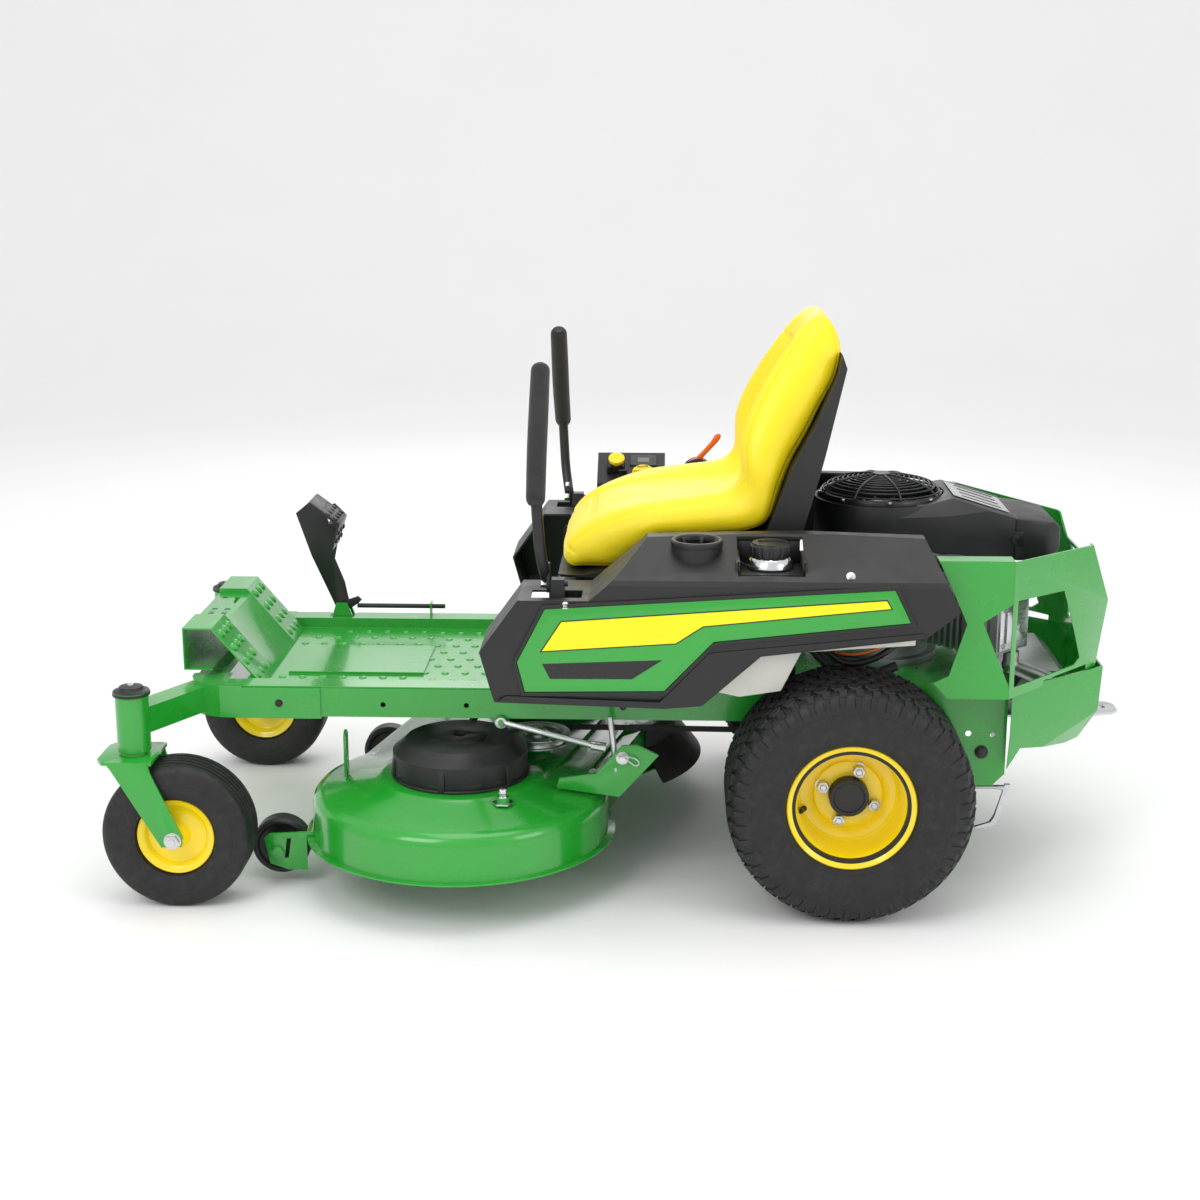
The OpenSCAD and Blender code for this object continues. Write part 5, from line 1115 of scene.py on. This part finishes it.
# ---------- tread plate bumps ----------
FLOOR_Z = 0.365                                       # floor pan, and the foot of the slope
SLOPE = Vector((1.2200, 0, 0.482)) - Vector((1.1264, 0, FLOOR_Z))


def floor_dimples():
    bump = [(0.0001, 0.0030), (0.0040, 0.0028), (0.0062, 0.0020), (0.0080, 0.0002), (0.0082, -0.0006)]
    behind = [(0.60 + 0.04 * i, y) for i in range(6) for y in
              (-0.19, -0.14, -0.09, -0.04, 0.01, 0.06, 0.11, 0.16, 0.205)]
    beside = [(0.84 + 0.04 * i, y) for i in range(7) for y in (0.145, 0.18, 0.212, -0.10, -0.15, -0.2)
              if i < 5 or y > -0.2]
    p = Piece("floor_dimples")
    for x, y in behind + beside:
        stagger = 0.020 if round(y * 200) % 20 < 10 else 0
        p.place((x + stagger, y, FLOOR_Z)).lathe(bump, 20)
    p.done(GREEN, "chassis", angle=50)


def foot_dimples():
    bump = [(0.0001, 0.0052), (0.0050, 0.0049), (0.0082, 0.0038), (0.0105, 0.0006), (0.0106, -0.0010)]
    tilt = Matrix.Rotation(math.radians(-51.5), 4, "Y")
    p = Piece("foot_dimples")
    for sgn in (1, -1):
        for i in range(4):
            for j in range(3):
                x, _, z = Vector((1.1262, 0, FLOOR_Z + 0.0002)) + SLOPE * (0.14 + 0.24 * i)
                p.place((x, sgn * (0.128 + 0.032 * j), z), tilt).lathe(bump, 22)
    p.done(GREEN, "chassis", angle=50)


def pedal_grip():
    """Studs on the two faces of the lift pedal's pad."""
    def studs(a, b, rows, y0, pitch, out, sink):
        for t in rows[0]:
            for j in range(rows[1]):
                c = Vector(a).lerp(Vector(b), t) + Vector((0, y0 + pitch * j, 0)) + sink
                p.rod(c, c + out, 0.0062, 14, 0.0046)
    p = Piece("pedal_grip")
    up = Vector((-0.525, 0, 0.851))
    studs((1.094, 0, 0.656), (1.026, 0, 0.614), ([0.16 + 0.225 * i for i in range(4)], 4), -0.228, 0.025,
          up * 0.0040, up * 0.0005)
    studs((1.030, 0, 0.606), (1.044, 0, 0.560), ((0.3, 0.7), 3), -0.222, 0.030,
          Vector((-0.0050, 0, -0.0012)), Vector())
    p.done(POWDER, "lift_pedal", bevel=0.0006)


floor_dimples()
foot_dimples()
pedal_grip()

# ---------- frame bolts, release rods and hoses ----------
def frame_bolts():
    p = Piece("frame_bolts")
    for sgn in (1, -1):
        for x, y, z, r in ((0.420, 0.2802, 0.352, 0.0045), (1.080, 0.2838, 0.354, 0.0055),
                           (-0.262, 0.2850, 0.272, 0.0095)):
            foot = (x, sgn * (y - 0.001), z)
            p.hexa(foot, (x, sgn * (y + 0.005), z), r * 2)
            p.rod(foot, (x, sgn * (y + 0.0012), z), r * 1.35, 24)
    p.done(POWDER, "chassis", bevel=0.0006)


def bypass_handle(side, mirror):
    route = [(x, 0.250, z) for x, z in ((-0.112, 0.190), (-0.300, 0.190), (-0.318, 0.186), (-0.300, 0.128),
                                        (-0.288, 0.110), (-0.264, 0.104))]
    p = Piece("bypass_handle_" + side)
    p.tube(rounded_corners(route, 0.014), 0.0040, 16, steps=1)
    handle = p.done(ZINC, "bypass_rod_" + side, angle=60, mirror=mirror, slot="bypass_rod_" + side)
    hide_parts("bypass_rod_" + side)


# Hoses and wires between the body and the engine: (radius, material, route)
HOSES = (
    (0.0105, RUBBER, [(-0.075, 0.300, 0.610), (-0.140, 0.285, 0.640), (-0.210, 0.262, 0.640),
                      (-0.262, 0.245, 0.612), (-0.300, 0.232, 0.590)]),
    (0.0085, RUBBER, [(-0.070, 0.280, 0.590), (-0.140, 0.262, 0.622), (-0.215, 0.240, 0.622),
                      (-0.270, 0.225, 0.596)]),
    (0.0062, POWDER, [(0.060, 0.300, 0.500), (0.010, 0.330, 0.462), (-0.040, 0.345, 0.470),
                      (-0.085, 0.340, 0.500), (-0.110, 0.310, 0.540)]),
    (0.0090, RUBBER, [(0.070, 0.296, 0.480), (0.020, 0.318, 0.440), (-0.030, 0.330, 0.432),
                      (-0.090, 0.322, 0.452)]),
    (0.0024, ORANGE, [(0.040, 0.290, 0.470), (-0.005, 0.338, 0.478), (-0.048, 0.350, 0.492),
                      (-0.100, 0.330, 0.520)]))

frame_bolts()
for side, sgn, mirror in SIDES:
    bypass_handle(side, mirror)
    for k, (r, mat, route) in enumerate(HOSES):
        hose = Piece("hose_%d_%s" % (k, side))
        hose.tube(route, r, 16, steps=10)
        hose.done(mat, "chassis", angle=70, mirror=mirror)

# ---------- floor and light ----------
p = Piece("floor")
BEND_Y, BEND_R, FRONT_Y, WALL_TOP = -5.0, 3.0, 14.0, 14.0     # the floor turns up into a wall behind the part
sweep = [(FRONT_Y, 0.0), (BEND_Y, 0.0)]
sweep += [(BEND_Y - BEND_R * math.sin(a), BEND_R - BEND_R * math.cos(a)) for a in
          (math.radians(3 * k) for k in range(1, 31))]
sweep += [(BEND_Y - BEND_R, WALL_TOP)]
n = len(sweep)
p.add([(x, y, z) for x in (-18, 18) for y, z in sweep], [(i, i + 1, n + i + 1, n + i) for i in range(n - 1)])
mesh = bpy.data.meshes.new("floor")
p.bm.to_mesh(mesh)
p.bm.free()
floor = bpy.data.objects.new("floor", mesh)
scene.collection.objects.link(floor)
mesh.materials.append(FLOOR)
shade(floor, 20)

world = bpy.data.worlds.new("studio")
world.use_nodes = True
world.node_tree.nodes["Background"].inputs["Color"].default_value = (1, 1, 1, 1)
world.node_tree.nodes["Background"].inputs["Strength"].default_value = 0.84
scene.world = world
for name, at, aim, size, power in (
        ("key", (2.6, 3.4, 3.6), (0.4, 0, 0.4), 2.2, 62), ("top", (0.2, 0.4, 4.4), (0.3, 0, 0.3), 3.0, 52),
        ("side", (-3.2, 2.6, 2.4), (-0.1, 0, 0.5), 1.8, 30),
        ("far", (0.6, -4.0, 3.0), (0.4, 0, 0.4), 2.6, 34)):
    data = bpy.data.lights.new(name, "AREA")
    data.size = size
    data.energy = power
    lamp = bpy.data.objects.new(name, data)
    lamp.location = at
    lamp.rotation_euler = (Vector(aim) - Vector(at)).to_track_quat("-Z", "Y").to_euler()
    scene.collection.objects.link(lamp)
scene.view_settings.view_transform = "Standard"
